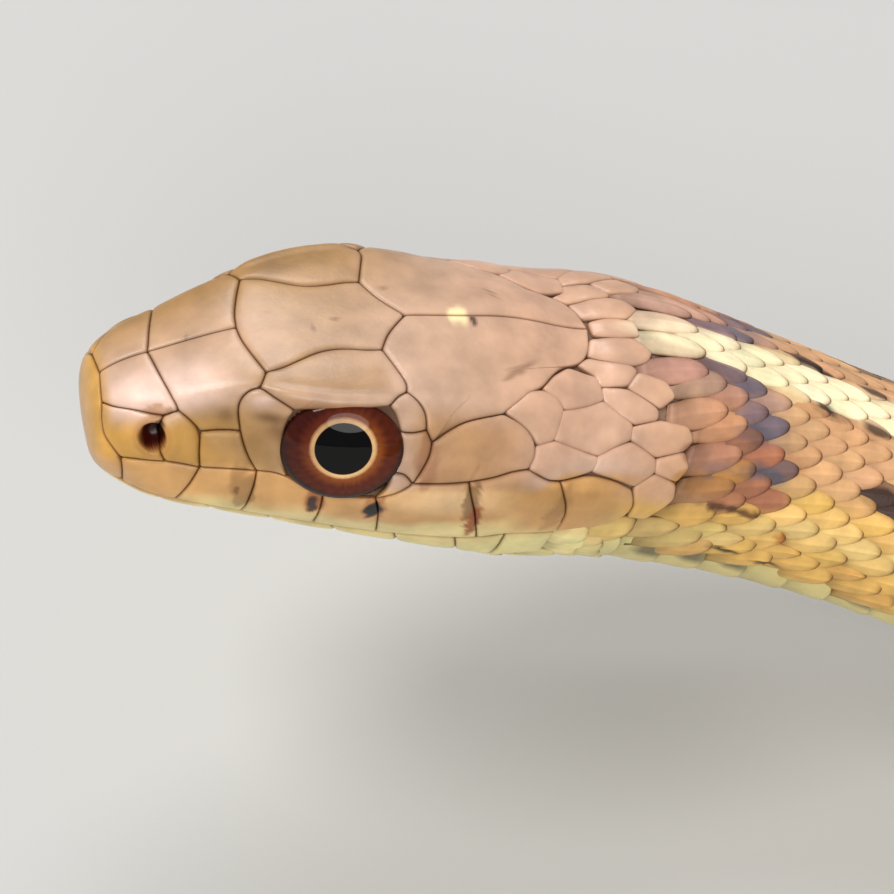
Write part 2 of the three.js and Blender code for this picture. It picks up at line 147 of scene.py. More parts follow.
# The axis seen from above, walked in small steps from the snout.
STEP = 0.25
ROUTE_S = np.arange(0, TOTAL_LENGTH + STEP * 1.01, STEP)
LEVEL_STEPS = np.sqrt(STEP**2 - np.diff(axis_height(ROUTE_S)) ** 2)
HEADINGS = heading(ROUTE_S[1:] - STEP / 2)
ROUTE_X = np.concatenate([[0], np.cumsum(LEVEL_STEPS * np.cos(HEADINGS))])
ROUTE_Y = np.concatenate([[0], np.cumsum(LEVEL_STEPS * np.sin(HEADINGS))])


def middle(node):
    low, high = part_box(node)
    return (np.array(low) + np.array(high)) / 2 / MM


# From the snout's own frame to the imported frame, by the place of the eyes.
OFFSET = (middle("eye_left") + middle("eye_right")) / 2 - [EYE_CENTRE_X, 0, EYE_CENTRE_HEIGHT]


def frame_at(s):
    """The axis at s: its place, and the directions forward, right and up."""
    x = np.interp(s, ROUTE_S, ROUTE_X)
    y = np.interp(s, ROUTE_S, ROUTE_Y)
    climbing = (s > STEP) & (s < GROUND_FROM)
    slope = np.where(climbing, (axis_height(s + STEP) - axis_height(s - STEP)) / (2 * STEP), 0)
    level = np.sqrt(1 - slope**2)
    way = heading(s)
    forward = np.stack([level * np.cos(way), level * np.sin(way), slope], -1)
    right = np.stack([-np.sin(way), np.cos(way), 0 * way], -1)
    place = np.stack([x, y, axis_height(s)], -1) + OFFSET
    return place, forward, right, np.cross(forward, right)


def nose_share(s):
    u = np.clip(1 - s / NOSE_DEPTH, 0, 1)
    return (1 - u**NOSE_BLUNTNESS) ** (1 / NOSE_BLUNTNESS)


def head_section(s, v):
    i = np.clip(np.floor(v).astype(int), 0, 4)
    t = v - i
    leave_share = 1 - LINE_SHARPNESS[i]
    arrive_share = 1 - LINE_SHARPNESS[i + 1]
    out = []
    for key, sign in ((0, -1), (1, 1)):
        lines = [along(list(zip(STATIONS, line[key])), s) for line in HEAD_LINES]
        stack = np.stack([sign * lines[1], *lines, sign * lines[4]])
        a, b, c, d = (np.take_along_axis(stack, (i + k)[None], 0)[0] for k in range(4))
        ends = b * (1 + 2 * t) * (1 - t) ** 2 + c * t * t * (3 - 2 * t)
        turn = leave_share * (c - a) / 2 * t * (1 - t) ** 2 + arrive_share * (d - b) / 2 * t * t * (t - 1)
        out.append((ends + turn) * nose_share(s))
    return np.stack(out, -1)


def body_section(s, v):
    angle = np.interp(v, np.arange(6), BODY_ANGLES)
    power = 2 / np.where(angle < 90, BACK_ROUNDNESS, BELLY_ROUNDNESS)
    angle = np.radians(angle)
    c = np.cos(angle)
    y = half_width(s) * np.abs(np.sin(angle)) ** power
    z = half_height(s) * np.sign(c) * np.abs(c) ** power
    return np.stack([y, np.maximum(z, -rest_height(s))], -1)


def section(s, v):
    share = ease((s - BLEND[0]) / (BLEND[1] - BLEND[0]))[..., None]
    if share.min() == 1:
        return body_section(s, v)
    return head_section(s, v) * (1 - share) + body_section(s, v) * share


def around(w):
    """The distance around from the crown, and the side: -1 left, 1 right."""
    w = (w + 5) % 10 - 5
    return np.abs(w), np.where(w >= 0, -1.0, 1.0)


# How near the surface is worked out to the tip of the snout, where its sections shrink to a point.
TIP = 1e-7
# How far to either side of a place its neighbours are taken for the direction of the surface there.
NUDGE = 0.02


def bare(s, w):
    """A point of the plain surface."""
    s, w = np.broadcast_arrays(np.maximum(np.asarray(s, float), TIP / 2), np.asarray(w, float))
    v, side = around(w)
    place, _, right, up = frame_at(s)
    yz = section(s, v)
    return place + right * (side * yz[..., 0])[..., None] + up * yz[..., 1][..., None]


def outward(s, w):
    """The direction that the plain surface faces."""
    s = np.maximum(s, TIP)
    step = np.minimum(NUDGE, s * 0.5)
    lengthwise = bare(s + step, w) - bare(s - step, w)
    normal = np.cross(bare(s, w + NUDGE) - bare(s, w - NUDGE), lengthwise)
    return normal / (np.linalg.norm(normal, axis=-1, keepdims=True) + 1e-12)


# Centres and reaches of the eye's opening and the nostril, each along and around.
EYE_SPOT = (9.9, 1.66)
EYE_REACH = (2.42, 0.47)
NOSTRIL_SPOT = (2.38, 1.53)
NOSTRIL_REACH = (0.52, 0.2)
NOSTRIL_DEPTH = 0.9


def ring_distance(s, v, spot, reach):
    """The distance from a spot, 1 at its reach."""
    return np.hypot((s - spot[0]) / reach[0], (v - spot[1]) / reach[1])


def relief(s, w):
    """The head's modelling over the section lines, in millimetres outward."""
    v, _ = around(w)
    ledge = 0.22 * fall(v - 1.08, 0.22) * between(s, 6.6, 1.4, 13.0, 1.2)
    hollow = -0.22 * fall(s - 5.4, 2.4) * fall(v - 1.52, 0.34)
    cushion = 0.16 * fall(s - 6.7, 1.1) * fall(v - 1.2, 0.26)
    nostril = 0.14 * fall(ring_distance(s, v, NOSTRIL_SPOT, NOSTRIL_REACH) - 1.2, 1.3)
    behind = 0.12 * fall(s - 12.9, 1.4) * fall(v - 1.3, 0.4)
    return ledge + hollow + cushion + nostril + behind


def surface(s, w, lift):
    """A point lifted off the surface, straight outward."""
    s, w, lift = np.broadcast_arrays(np.maximum(np.asarray(s, float), TIP), np.asarray(w, float), lift)
    return bare(s, w) + outward(s, w) * (lift + relief(s, w))[..., None]


def bumps(s, w, seed, size):
    """Smooth seeded variation from about -1 to 1 over the surface."""
    rng = np.random.default_rng(seed)
    total = 0
    for _ in range(5):
        a, b = rng.normal(size=2) / size
        total = total + np.sin(a * s + 2.4 * b * w + rng.uniform(0, 6.28))
    return total / 2.4


class Sheet:
    """Points, faces, colours and bake coordinates gathered into one mesh."""

    def __init__(self):
        self.points, self.faces, self.tones, self.uvs, self.count = [], [], [], [], 0

    def add(self, points, faces, tones, uvs):
        """Adds points, their colours and coordinates, and faces of four. A triangle repeats its last."""
        self.points.append(points.reshape(-1, 3))
        self.tones.append(np.broadcast_to(tones, points.shape).reshape(-1, 3))
        self.uvs.append(uvs.reshape(-1, 2))
        self.faces.append(faces.reshape(-1, 4) + self.count)
        self.count += points.reshape(-1, 3).shape[0]

    def build(self, name, material, replaced=()):
        points = np.concatenate(self.points) * MM
        points[:, 2] = np.maximum(points[:, 2], 0)
        faces = np.concatenate(self.faces)
        tones = np.concatenate(self.tones)
        uvs = np.concatenate(self.uvs)
        corners = np.ones(faces.shape, bool)
        corners[:, 3] = faces[:, 2] != faces[:, 3]
        loops = faces[corners]
        starts = np.concatenate([[0], np.cumsum(corners.sum(1))[:-1]])
        mesh = bpy.data.meshes.new(name)
        mesh.vertices.add(len(points))
        mesh.vertices.foreach_set("co", points.ravel())
        mesh.loops.add(len(loops))
        mesh.loops.foreach_set("vertex_index", loops.astype(np.int32))
        mesh.polygons.add(len(faces))
        mesh.polygons.foreach_set("loop_start", starts.astype(np.int32))
        mesh.polygons.foreach_set("use_smooth", np.ones(len(faces), bool))
        mesh.update(calc_edges=True)
        layer = mesh.uv_layers.new(name="OFBake")
        layer.data.foreach_set("uv", uvs[loops].ravel())
        colours = mesh.color_attributes.new("Tone", "FLOAT_COLOR", "POINT")
        colours.data.foreach_set("color", np.c_[tones, np.ones(len(tones))].ravel())
        mesh.materials.append(material)
        mesh.validate()
        piece = bpy.data.objects.new(name, mesh)
        bpy.context.scene.collection.objects.link(piece)
        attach(piece, "root")
        if replaced:
            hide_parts(*replaced)
        return piece


def grid_faces(rows, columns, closed=False):
    """Faces of a grid of points, seen from outside in the order of rows, then columns."""
    i, k = np.meshgrid(np.arange(rows - 1), np.arange(columns if closed else columns - 1), indexing="ij")
    n = (k + 1) % columns
    faces = np.stack([i * columns + k, i * columns + n, (i + 1) * columns + n, (i + 1) * columns + k], -1)
    return faces.reshape(-1, 4)


def fan(ring, centre):
    """Triangles from a ring of points to one centre."""
    hub = np.full_like(ring, centre)
    return np.stack([ring, np.roll(ring, -1), hub, hub], -1)


def capped_faces(rows, columns):
    """Faces of a closed grid, and of fans from its first and last rings to the two points after it."""
    ring = np.arange(columns)
    size = rows * columns
    fans = [fan(ring[::-1], size), fan(ring + size - columns, size + 1)]
    return np.concatenate([grid_faces(rows, columns, closed=True), *fans])


def grid_rim(rows, columns):
    """The points around the edge of a grid, once each."""
    end = rows * columns
    return np.concatenate([
        np.arange(columns), np.arange(2, rows) * columns - 1, np.arange(end - 1, end - columns - 1, -1),
        np.arange(rows - 2, 0, -1) * columns,
    ])


def skirt(rim, under):
    """Faces from a rim of points down to those under them."""
    return np.stack([np.roll(rim, -1), rim, under, np.roll(under, -1)], -1)


def lid(ring):
    """Faces across a closed ring of points, worked inward from its two ends."""
    faces = []
    low, high = 0, len(ring) - 1
    while high - low >= 3:
        faces.append(ring[[high, high - 1, low + 1, low]])
        low += 1
        high -= 1
    if high - low == 2:
        faces.append(ring[[high, low + 1, low, low]])
    return np.array(faces)


def tone(code):
    """A display colour as linear light."""
    c = np.array([int(code[i : i + 2], 16) for i in (0, 2, 4)]) / 255
    return np.where(c <= 0.04045, c / 12.92, ((c + 0.055) / 1.055) ** 2.4)


def mix(a, b, share):
    share = np.asarray(share, float)[..., None]
    return a * (1 - share) + b * share


def paint(colour, *washes):
    """Washes laid over a colour in turn, each a shade and how much of it shows."""
    for shade, share in washes:
        colour = mix(colour, shade, share)
    return colour


# Colours, as they show in even light. Some are also laid on as painted highlight or painted shade, where
# noted.
CROWN = tone("c39f84")
CROWN_FAR_SHADED = tone("a07840")
SNOUT = tone("c8964a")
LABIAL = tone("d09e62")
LABIAL_FOOT = tone("dfca8c")
PALE_LABIAL = tone("ecc696")
CHIN = tone("e8da98")
NAPE = tone("cfa386")
CHEEK = tone("6a4314")
ROSY = tone("dbbaa8")
OLIVE = tone("ab8558")
TEMPLE = tone("b98a5a")
BROW = tone("8e6a3c")
BROW_EDGE = tone("a8703a")
SUTURE = tone("6b4a34")
PIT = tone("54180c")
FLANK = tone("a07a50")
FLANK_FRONT = tone("cb9c70")
STRIPE = tone("f8e6bc")
REAR_STRIPE = tone("dec692")
SIDE = tone("d6a95a")
REAR_SIDE = tone("c4a468")
SIDE_STRIPE = tone("e2c680")
BELLY = tone("dac984")
SPOT = tone("2c201e")
RUST = tone("8a4a2c")
SHADES = {
    "rust": tone("a56c4e"), "plum": tone("7f6668"), "grey": tone("605861"), "orange": tone("c28a48"),
    "dark": tone("55301c"), "rose": tone("b38a78"), "black": tone("1a1010"), "amber": tone("b06a20"),
    "burnt": tone("9a4f1c"), "ink": tone("0c0503"), "pale": tone("fbeab0"),
    "brown": RUST, "cheek": CHEEK, "brow": BROW_EDGE, "suture": SUTURE,
}
# How much of each light is left in the groove of a plate, at a scale's edge and on its rim: partly the dark
# skin of the joint, partly painted shade in the groove and at the edges.
GROOVE_SHADE = np.array([0.42, 0.33, 0.27])
EDGE_SHADE = np.array([0.6, 0.5, 0.42])
RIM_SHADE = np.array([0.24, 0.16, 0.12])

# Marks, each as [along, around, reach along, reach around, shade, share].
# The blotch on each side of the neck:
BLOTCH = [
    (26.0, 0.3, 1.6, 0.14, "rose", 0.8), (28.9, 0.3, 1.5, 0.12, "plum", 1),
    (29.6, 0.46, 1.4, 0.12, "grey", 0.75), (27.6, 0.5, 1.2, 0.12, "rose", 0.8),
    (31.2, 0.5, 1.0, 0.1, "rose", 0.7), (28.4, 0.72, 1.5, 0.12, "rust", 0.5),
    (31.0, 0.72, 1.2, 0.12, "plum", 1), (27.8, 0.94, 1.4, 0.1, "rust", 0.45),
    (30.6, 0.92, 1.4, 0.12, "grey", 1), (29.4, 1.12, 1.5, 0.12, "rust", 0.8),
    (32.4, 1.1, 1.2, 0.13, "rust", 1), (27.2, 1.28, 1.2, 0.12, "rust", 0.6),
    (28.6, 1.4, 0.8, 0.09, "plum", 1), (31.4, 1.34, 1.3, 0.11, "grey", 1),
    (29.4, 1.56, 1.4, 0.12, "orange", 1), (27.4, 1.6, 1.3, 0.12, "orange", 0.85),
    (31.6, 1.56, 1.4, 0.14, "rust", 1), (30.2, 1.72, 1.3, 0.09, "rust", 0.8),
]
# Small marks on the scales of the neck:
SMALL_MARKS = [
    (34.8, 0.27, 0.6, 0.045, "black", 0.85), (37.9, 0.28, 0.8, 0.05, "black", 0.8),
    (31.9, 2.52, 0.9, 0.03, "black", 0.9), (34.9, 2.58, 0.8, 0.035, "black", 0.9),
    (37.1, 2.25, 0.12, 0.12, "black", 0.8), (34.5, 2.1, 0.3, 0.1, "amber", 0.8),
    (30.4, 1.84, 1.9, 0.045, "dark", 0.9), (28.2, 1.5, 0.25, 0.08, "grey", 0.9),
    (31.2, 1.28, 0.5, 0.1, "grey", 0.6),
]
# Marks of the labials, the temple and the edge of the nasal plate:
HEAD_MARKS = [
    (8.85, 2.4, 0.42, 0.3, "burnt", 0.75), (8.8, 2.44, 0.22, 0.22, "ink", 0.9),
    (11.3, 2.36, 0.55, 0.28, "burnt", 0.6), (11.3, 2.4, 0.38, 0.2, "ink", 1),
    (5.9, 2.4, 0.55, 0.5, "cheek", 0.45), (5.7, 2.45, 0.12, 0.1, "cheek", 0.7),
    (15.5, 2.2, 0.35, 0.45, "cheek", 0.7), (15.85, 2.7, 0.35, 0.45, "burnt", 0.95),
    (20.0, 2.3, 0.5, 0.5, "cheek", 0.3), (13.4, 1.65, 0.5, 0.3, "brown", 0.4),
    (2.7, 1.14, 0.55, 0.14, "brow", 0.6),
]
# Painted shadow in the nostril's upper corner, under its rim.
NOSTRIL_CORNER_SHADOW = [(2.72, 1.36, 0.26, 0.07, "ink", 0.8)]
# Marks at their own place left or right of the crown: the pale spot, the dot beside it and the flecks.
PALE_SPOT = [(15.95, 0.02, 0.5, 0.12, "pale", 0.8)]
DOT = [(16.6, 0.07, 0.16, 0.06, "ink", 0.8)]
FLECKS = [
    (x, y, 0.12, 0.045, "suture", 0.5)
    for x, y in ((9.6, 0.15), (8.0, -0.12), (10.6, 0.05), (13.1, -0.3), (4.4, -0.05), (17.6, -0.3))
]
SCRATCH = (17.6, 0.55)


def lay_marks(colour, s, v, marks, rim, soft, ragged=0):
    """Lays marks on a colour, each out to rim times its reach, with a soft edge that ragged moves."""
    for at, height, long, tall, shade, share in marks:
        reach = ring_distance(s, v, (at, height), (long, tall)) + ragged
        colour = mix(colour, SHADES[shade], ease((rim - reach) / soft) * share)
    return colour


# Two alternating rows of dark spots, each as place around, the same on the neck, reach along,
# reach around and the place along of one spot.
SPOT_ROWS = [(0.72, 0.26, 2.1, 0.3, 35.0), (1.48, 1.02, 2.4, 0.34, 39.0)]
SPOT_PERIOD = 9.4


def spots(s, v, side):
    """How far a place lies in the rows of dark spots, 0 to 1."""
    wander = 0.5 * bumps(s, side * 3, 3, 9.0) * ease((s - 40) / 10)
    total = np.zeros(np.broadcast(s, v).shape)
    grown = ease((s - 34) / 22)
    for row, (at, front, long, tall, first) in enumerate(SPOT_ROWS):
        turn = (s + wander - first) / SPOT_PERIOD + 0.13 * (side > 0)
        off = (turn - np.round(turn)) * SPOT_PERIOD
        height = front + (at - front) * grown + 0.05 * bumps(s, side * 5 + row, 10, 14.0)
        reach = np.hypot(off / (long * (0.6 + 0.4 * grown)), (v - height) / (tall * (0.45 + 0.55 * grown)))
        total = np.maximum(total, ease((1.25 - reach) / 0.5))
    return total * ease((s - 32.5) / 1.5)


# Where the flank gives way to the paler side, and how far the stripe reaches from the middle of the back.
SIDE_EDGE = [(20, 1.95), (28, 1.95), (31.5, 1.75), (33, 1.5), (36, 1.32), (48, 1.5), (80, 1.75), (640, 1.85)]
STRIPE_EDGE = [(21, 0.02), (24, 0.08), (27, 0.17), (32, 0.24), (60, 0.25), (640, 0.28)]


def body_tone(s, w):
    """The body's colour, skin and scales alike."""
    v, side = around(w)
    s, v, side = np.broadcast_arrays(s, v, side)
    grain = bumps(s, w, 11, 1.3)[..., None]
    rear = ease((s - 42) / 40)
    low = along(SIDE_EDGE, s)
    dark = spots(s, v, side)
    colour = paint(FLANK, (FLANK_FRONT, ease((62 - s) / 24)), (NAPE, ease((31 - s) / 7) * 0.85))
    colour = paint(
        colour * (1 + 0.1 * grain),
        (mix(SIDE, REAR_SIDE, rear), ease((v - low + 0.18) / 0.3)),
        (SIDE_STRIPE, fall(v - low - 0.55, 0.4) * 0.75),
        (RUST, np.clip(dark * 1.6, 0, 1) * 0.7 * (v < low + 0.4)),
        (SPOT, ease((dark - 0.35) / 0.35) * 0.92),
    )
    stripe = ease((along(STRIPE_EDGE, s) + 0.05 - v) / 0.08) * ease((s - 21.5) / 1.5)
    return paint(
        lay_marks(colour, s, v, BLOTCH, 1.5, 0.3),
        (mix(STRIPE, REAR_STRIPE, rear) * (1 + 0.06 * grain), stripe),
        (BELLY, ease((v - ventral_edge(s) - 0.05) / 0.2)),
    )


def head_tone(s, w):
    """The head's colour before its marks."""
    v, _ = around(w)
    s, v = np.broadcast_arrays(s, v)
    grain = bumps(s, w, 5, 0.8)
    brow = between(v, 0.52, 0.14, 1.02, 0.1) * between(s, 7.4, 0.8, 12.4, 0.6)
    lip_top = 1.88 - 0.3 * ease((s - 18) / 2)
    lip = ease((v - lip_top) / 0.14)
    under_tip = ease((np.interp(s, CHART_S, CHART_R) - 1.45) / 0.1)
    colour = paint(
        CROWN,
        # Painted shade on the far side of the crown, which is also browner.
        (CROWN_FAR_SHADED, ease((0.2 - w) / 1.1) * ease((18 - s) / 9) * 0.9),
        (OLIVE, fall(s - 9.5, 4.5) * ease((1.1 - v) / 0.4) * 0.6),
        (ROSY, ease((bumps(s, w, 77, 2.6) + 0.3) / 1.2) * 0.35 * ease((s - 10) / 4)),
        (OLIVE, ease((bumps(s, w, 78, 2.2) - 0.1) / 1.2) * 0.55),
        # Painted highlight on the near side of the snout's top.
        (ROSY, ease((w - 0.1) / 0.5) * ease((1.4 - v) / 0.4) * ease((7.0 - s) / 3) * 0.95),
        (BROW, brow * (0.55 + 0.2 * bumps(s, w, 79, 1.2))),
        (BROW_EDGE, between(v, 1.06, 0.08, 1.3, 0.05) * fall(s - 9.8, 3.2) * 0.75),
        (SNOUT, ease((v - 1.15) / 0.35) * ease((9.5 - s) / 6)),
        (TEMPLE, ease((v - 1.0) / 0.4) * between(s, 12, 1.5, 18.5, 1.5) * 0.85),
        (SNOUT, ease((1.1 - s) / 0.6)),
        (BROW, fall(s - 6.2, 2.6) * fall(v - 1.68, 0.4) * 0.8),
        # These two: painted shade under the preocular's bump, in front of the eye.
        (CHEEK, fall(s - 7.4, 0.8) * fall(v - 1.5, 0.17) * 0.6),
        (CHEEK, fall(s - 7.2, 1.2) * fall(v - 1.37, 0.1) * 0.8),
        # A brown tint at the prefrontal's lower edge.
        (CHEEK, fall(s - 5.4, 0.8) * fall(v - 1.36, 0.2) * 0.6),
        # Painted highlight on the preocular's bump.
        (ROSY, fall(s - 6.9, 0.9) * fall(v - 1.18, 0.14) * 0.8),
        (LABIAL, lip),
        (PALE_LABIAL, lip * fall(s - 14.5, 4.5) * ease((2.6 - v) / 0.4) * 0.75),
        (BROW, between(v, 1.8, 0.1, 2.5, 0.3) * ease((s - 16.5) / 1) * 0.3),
        (LABIAL_FOOT, ease((v - 2.5 + 0.1 * grain) / 0.5) * ease((s - 2) / 3)),
        (CHIN, ease((v - lip_line(s) - 0.05) / 0.2) * under_tip),
        (NAPE, ease((s - 15) / 4) * ease((lip_top - v) / 0.2) * 0.7),
    )
    return colour * (1 + 0.035 * grain[..., None])


def head_marks(colour, s, w):
    """The small marks of the head, and the nostril with its painted shade: those placed by w lie where they
    are, the others on both sides.
    """
    v, _ = around(w)
    ragged = -0.22 * bumps(s, w, 21, 0.16)
    ring = ring_distance(s, v, NOSTRIL_SPOT, NOSTRIL_REACH)
    x, y = s - SCRATCH[0], w - SCRATCH[1]
    scratch = np.hypot((x - 3 * y) / 0.9, (y + 0.2 * x) / 0.05)
    colour = lay_marks(colour, s, v, HEAD_MARKS, 1.15, 0.4, ragged)
    colour = lay_marks(colour, s, w, PALE_SPOT, 1.3, 0.9, 1.2 * ragged)
    colour = paint(
        colour,
        # The nostril: a brown rim about it, then its dark red-brown hole, partly its lining and partly
        # painted shade, darker deep in it as painted shade.
        (BROW_EDGE, ease((1.75 - ring) / 0.5) * 0.5),
        (PIT, ease((1.12 - ring) / 0.2)),
        (PIT * 0.25, ease((0.85 - ring) / 0.5)),
    )
    # Painted shadow in the nostril's upper corner.
    colour = lay_marks(colour, s, v, NOSTRIL_CORNER_SHADOW, 1.15, 0.4, ragged)
    colour = lay_marks(colour, s, w, DOT, 1.2, 0.5)
    colour = mix(colour, SUTURE, ease((1.1 - scratch) / 0.5) * 0.55)
    return lay_marks(colour, s, w, FLECKS, 1.2, 0.6)


def dressed_head_tone(s, w):
    colour = head_marks(head_tone(s, w), s, w)
    return mix(colour, body_tone(s, w), ease((s - 21.5) / 4))


def belly_tone(s, w):
    colour = mix(BELLY, CHIN, ease((30 - s) / 8) * 0.6)
    return colour * (1 + 0.04 * bumps(s, w, 41, 3.0)[..., None])


# Seams between the head's plates on one side: [along, around] points, joined where they share an end.
A0, R1, R2, R3 = (0.62, 0), (0.5, 0.7), (1.0, 1.88), (1.1, 2.86)
I1, I2, N1, N2, P1, P2 = (2.7, 0), (3.5, 1.21), (2.9, 1.24), (2.8, 1.93), (4.3, 1.54), (5.9, 1.56)
L1, L2, L4, L5, L6 = (4.2, 2.04), (6.5, 2.0), (15.3, 1.84), (19.5, 1.76), (23.7, 1.82)
B1, B2, F0, F1, F2, F3 = (6.8, 1.0), (12.7, 0.92), (6.5, 0), (7.2, 0.7), (12.2, 0.4), (13.7, 0)
E1, E2, E3, E4, E5 = (7.7, 2.0), (8.1, 1.27), (11.85, 1.13), (12.3, 1.39), (11.95, 1.75)
E6, E7, O1, O2 = (11.3, 2.12), (9.15, 2.18), (13.4, 1.37), (12.85, 1.87)
T0, T1, T2, T3, T4 = (13.65, 1.48), (16.95, 1.08), (17.9, 0.75), (17.9, 1.68), (18.1, 1.43)
P9 = (21.1, 0)
LIP_LINE = [
    (0, 2.9), (3.2, 3.04), (6, 3.28), (9, 3.35), (12, 3.4), (15, 3.36), (17.2, 3.22), (20.3, 2.86),
    (21.6, 2.66), (24, 2.5),
]
MOUTH_END = 21.4


def lip_line(s):
    return along(LIP_LINE, s)


def on_lip(s):
    return s, float(lip_line(s))


SEAMS = {
    "rostral_top": [A0, (0.55, 0.35), R1],
    "rostral_side": [R1, (0.4, 1.2), (0.42, 1.5), (0.7, 1.69), R2],
    "rostral_foot": [R2, (1.05, 2.3), R3],
    "internasal_mid": [A0, I1],
    "internasal_back": [I1, (3.0, 0.45), (3.25, 0.76), I2],
    "nasal_top": [R1, (0.9, 0.9), (1.6, 1.06), (2.2, 1.16), N1],
    "nasal_top_back": [N1, I2],
    "nasal_split": [N1, (2.7, 1.36), (2.5, 1.53), (2.62, 1.72), N2],
    "nasal_foot": [R2, (1.8, 1.9), N2],
    "nasal_foot_back": [N2, (3.5, 1.98), L1],
    "nasal_back_high": [I2, (3.9, 1.36), P1],
    "loreal_front": [P1, (4.2, 1.78), L1],
    "loreal_top": [P1, (4.8, 1.54), P2],
    "loreal_foot": [L1, (5.1, 2.03), L2],
    "loreal_back": [P2, (6.0, 1.68), (6.2, 1.82), L2],
    "preocular_front": [P2, (5.85, 1.4), (5.9, 1.26), (6.1, 1.14), (6.45, 1.04), B1],
    "preocular_foot": [L2, (7.2, 1.97), E1],
    "eye_front": [E1, (7.55, 1.78), (7.55, 1.6), (7.72, 1.42), E2],
    "prefrontal_mid": [I1, F0],
    "prefrontal_back": [F0, (6.55, 0.2), (6.8, 0.42), F1],
    "prefrontal_brow": [F1, (6.95, 0.88), B1],
    "brow_front": [B1, (7.3, 1.12), (7.7, 1.2), E2],
    "eye_top": [E2, (8.8, 1.22), (9.6, 1.19), (10.4, 1.17), (11.1, 1.15), E3],
    "brow_back": [E3, (12.3, 1.0), B2],
    "frontal_side": [F1, (7.8, 0.64), (8.6, 0.52), (9.4, 0.42), (10.1, 0.38), (10.9, 0.38), (11.5, 0.4), F2],
    "frontal_back": [F2, (12.6, 0.25), (13.1, 0.13), F3],
    "parietal_mid": [F3, P9],
    "parietal_front": [F2, (12.4, 0.52), (12.62, 0.66), (12.8, 0.8), B2],
    "parietal_postocular": [B2, (13.1, 1.08), (13.4, 1.22), O1],
    "parietal_step": [O1, T0],
    "parietal_temporal": [T0, (14.2, 1.4), (15.1, 1.26), (16.0, 1.17), T1],
    "parietal_second": [T1, (17.4, 0.9), T2],
    "parietal_back": [
        T2, (18.4, 0.68), (18.9, 0.53), (19.4, 0.44), (20.1, 0.4), (20.6, 0.32), (20.9, 0.2), P9,
    ],
    "postocular_split": [E4, (12.8, 1.4), O1],
    "eye_back_high": [E3, (12.15, 1.24), E4],
    "eye_back": [E4, (12.35, 1.5), (12.2, 1.64), E5],
    "eye_back_low": [E5, (11.8, 1.9), (11.5, 2.03), E6],
    "postocular_back": [T0, (13.55, 1.6), (13.2, 1.74), O2],
    "postocular_low": [E5, (12.5, 1.76), O2],
    "postocular_foot": [E6, (12.0, 2.05), O2],
    "eye_foot": [E1, (8.3, 2.11), E7],
    "eye_foot_back": [E7, (9.9, 2.17), (10.6, 2.16), E6],
    "temporal_foot": [O2, (14.2, 1.87), L4],
    "temporal_foot_back": [L4, (16.4, 1.79), (17.2, 1.72), T3],
    "temporal_back": [T1, (17.45, 1.18), (17.85, 1.29), T4, (18.12, 1.56), T3],
    "labial_12": [L1, (3.8, 2.4), (3.4, 2.72), on_lip(3.15)],
    "labial_23": [L2, (6.4, 2.28), (6.15, 2.7), on_lip(5.9)],
    "labial_34": [E7, (9.12, 2.6), on_lip(9.0)],
    "labial_45": [E6, (11.6, 2.52), on_lip(11.8)],
    "labial_56": [L4, (15.5, 2.16), (15.9, 2.54), on_lip(16.4)],
    "labial_67": [L5, (20.0, 1.96), (20.7, 2.34), on_lip(21.0)],
    "labial_6_top": [T3, (18.5, 1.75), (19.0, 1.78), L5],
    "labial_7_top": [L5, (20.2, 1.7), (21.0, 1.65), (22.5, 1.72), L6],
    "labial_7_back": [L6, (24.4, 2.05), (24.3, 2.4), (23.0, 2.55), on_lip(22.4)],
}


def joined(first, *others):
    """Seams end to end, to be rounded as one."""
    return SEAMS[first] + [point for name in others for point in SEAMS[name][1:]]


SEAMS["rostral"] = joined("rostral_top", "rostral_side", "rostral_foot")
SEAMS["nasal_back"] = joined("nasal_back_high", "loreal_front")
EYE_SEAMS = [
    "eye_front", "eye_top", "eye_back_high", "eye_back", "eye_back_low", "-eye_foot_back", "-eye_foot",
]
FRONTAL_SEAMS = ["prefrontal_back", "frontal_side", "frontal_back"]
SMOOTHING = 2
SPACING = 0.12


def rounded(points):
    """An open line with its inner corners cut, and its ends kept."""
    points = np.array(points, float)
    for _ in range(SMOOTHING):
        if len(points) < 3:
            break
        a = points[:-1] * 0.75 + points[1:] * 0.25
        b = points[:-1] * 0.25 + points[1:] * 0.75
        inner = np.stack([a, b], 1).reshape(-1, 2)
        points = np.concatenate([points[:1], inner[1:-1], points[-1:]])
    return points


def resampled(points):
    """The same line in even steps of its true length."""
    places = bare(points[:, 0], points[:, 1])
    run = np.concatenate([[0], np.cumsum(np.linalg.norm(np.diff(places, axis=0), axis=1))])
    count = max(2, int(round(run[-1] / SPACING)))
    at = np.linspace(0, run[-1], count + 1)
    return np.stack([np.interp(at, run, points[:, k]) for k in (0, 1)], 1)


def curve(height, start, stop, count):
    """A line whose place around is worked out from the place along."""
    s = np.linspace(start, stop, count)
    return resampled(np.stack([s, height(s)], 1))


def seam(name):
    """A seam by its name, backward after a minus sign, or a stretch of the lip by its start and end."""
    if isinstance(name, tuple):
        return curve(lip_line, *name, 12)
    line = resampled(rounded(SEAMS[name.lstrip("-")]))
    return line[::-1] if name.startswith("-") else line


def outline_of(names):
    return np.concatenate([seam(name)[:-1] for name in names])


def dense_line(corners):
    """Straight lines from corner to corner in even steps, without the last corner."""
    sides = zip(corners[:-1], corners[1:])
    return np.concatenate([resampled(np.array(ends, float))[:-1] for ends in sides])


def closed_line(corners):
    return dense_line([*corners, corners[0]])


# The nose is charted as a disc about its tip, so that a plate can lie across it.
CHART_S = np.concatenate([np.linspace(0, 1, 120) ** 4 * 0.2, np.linspace(0.21, 40, 400)])
CHART_R = 2.6 * nose_share(CHART_S) + CHART_S


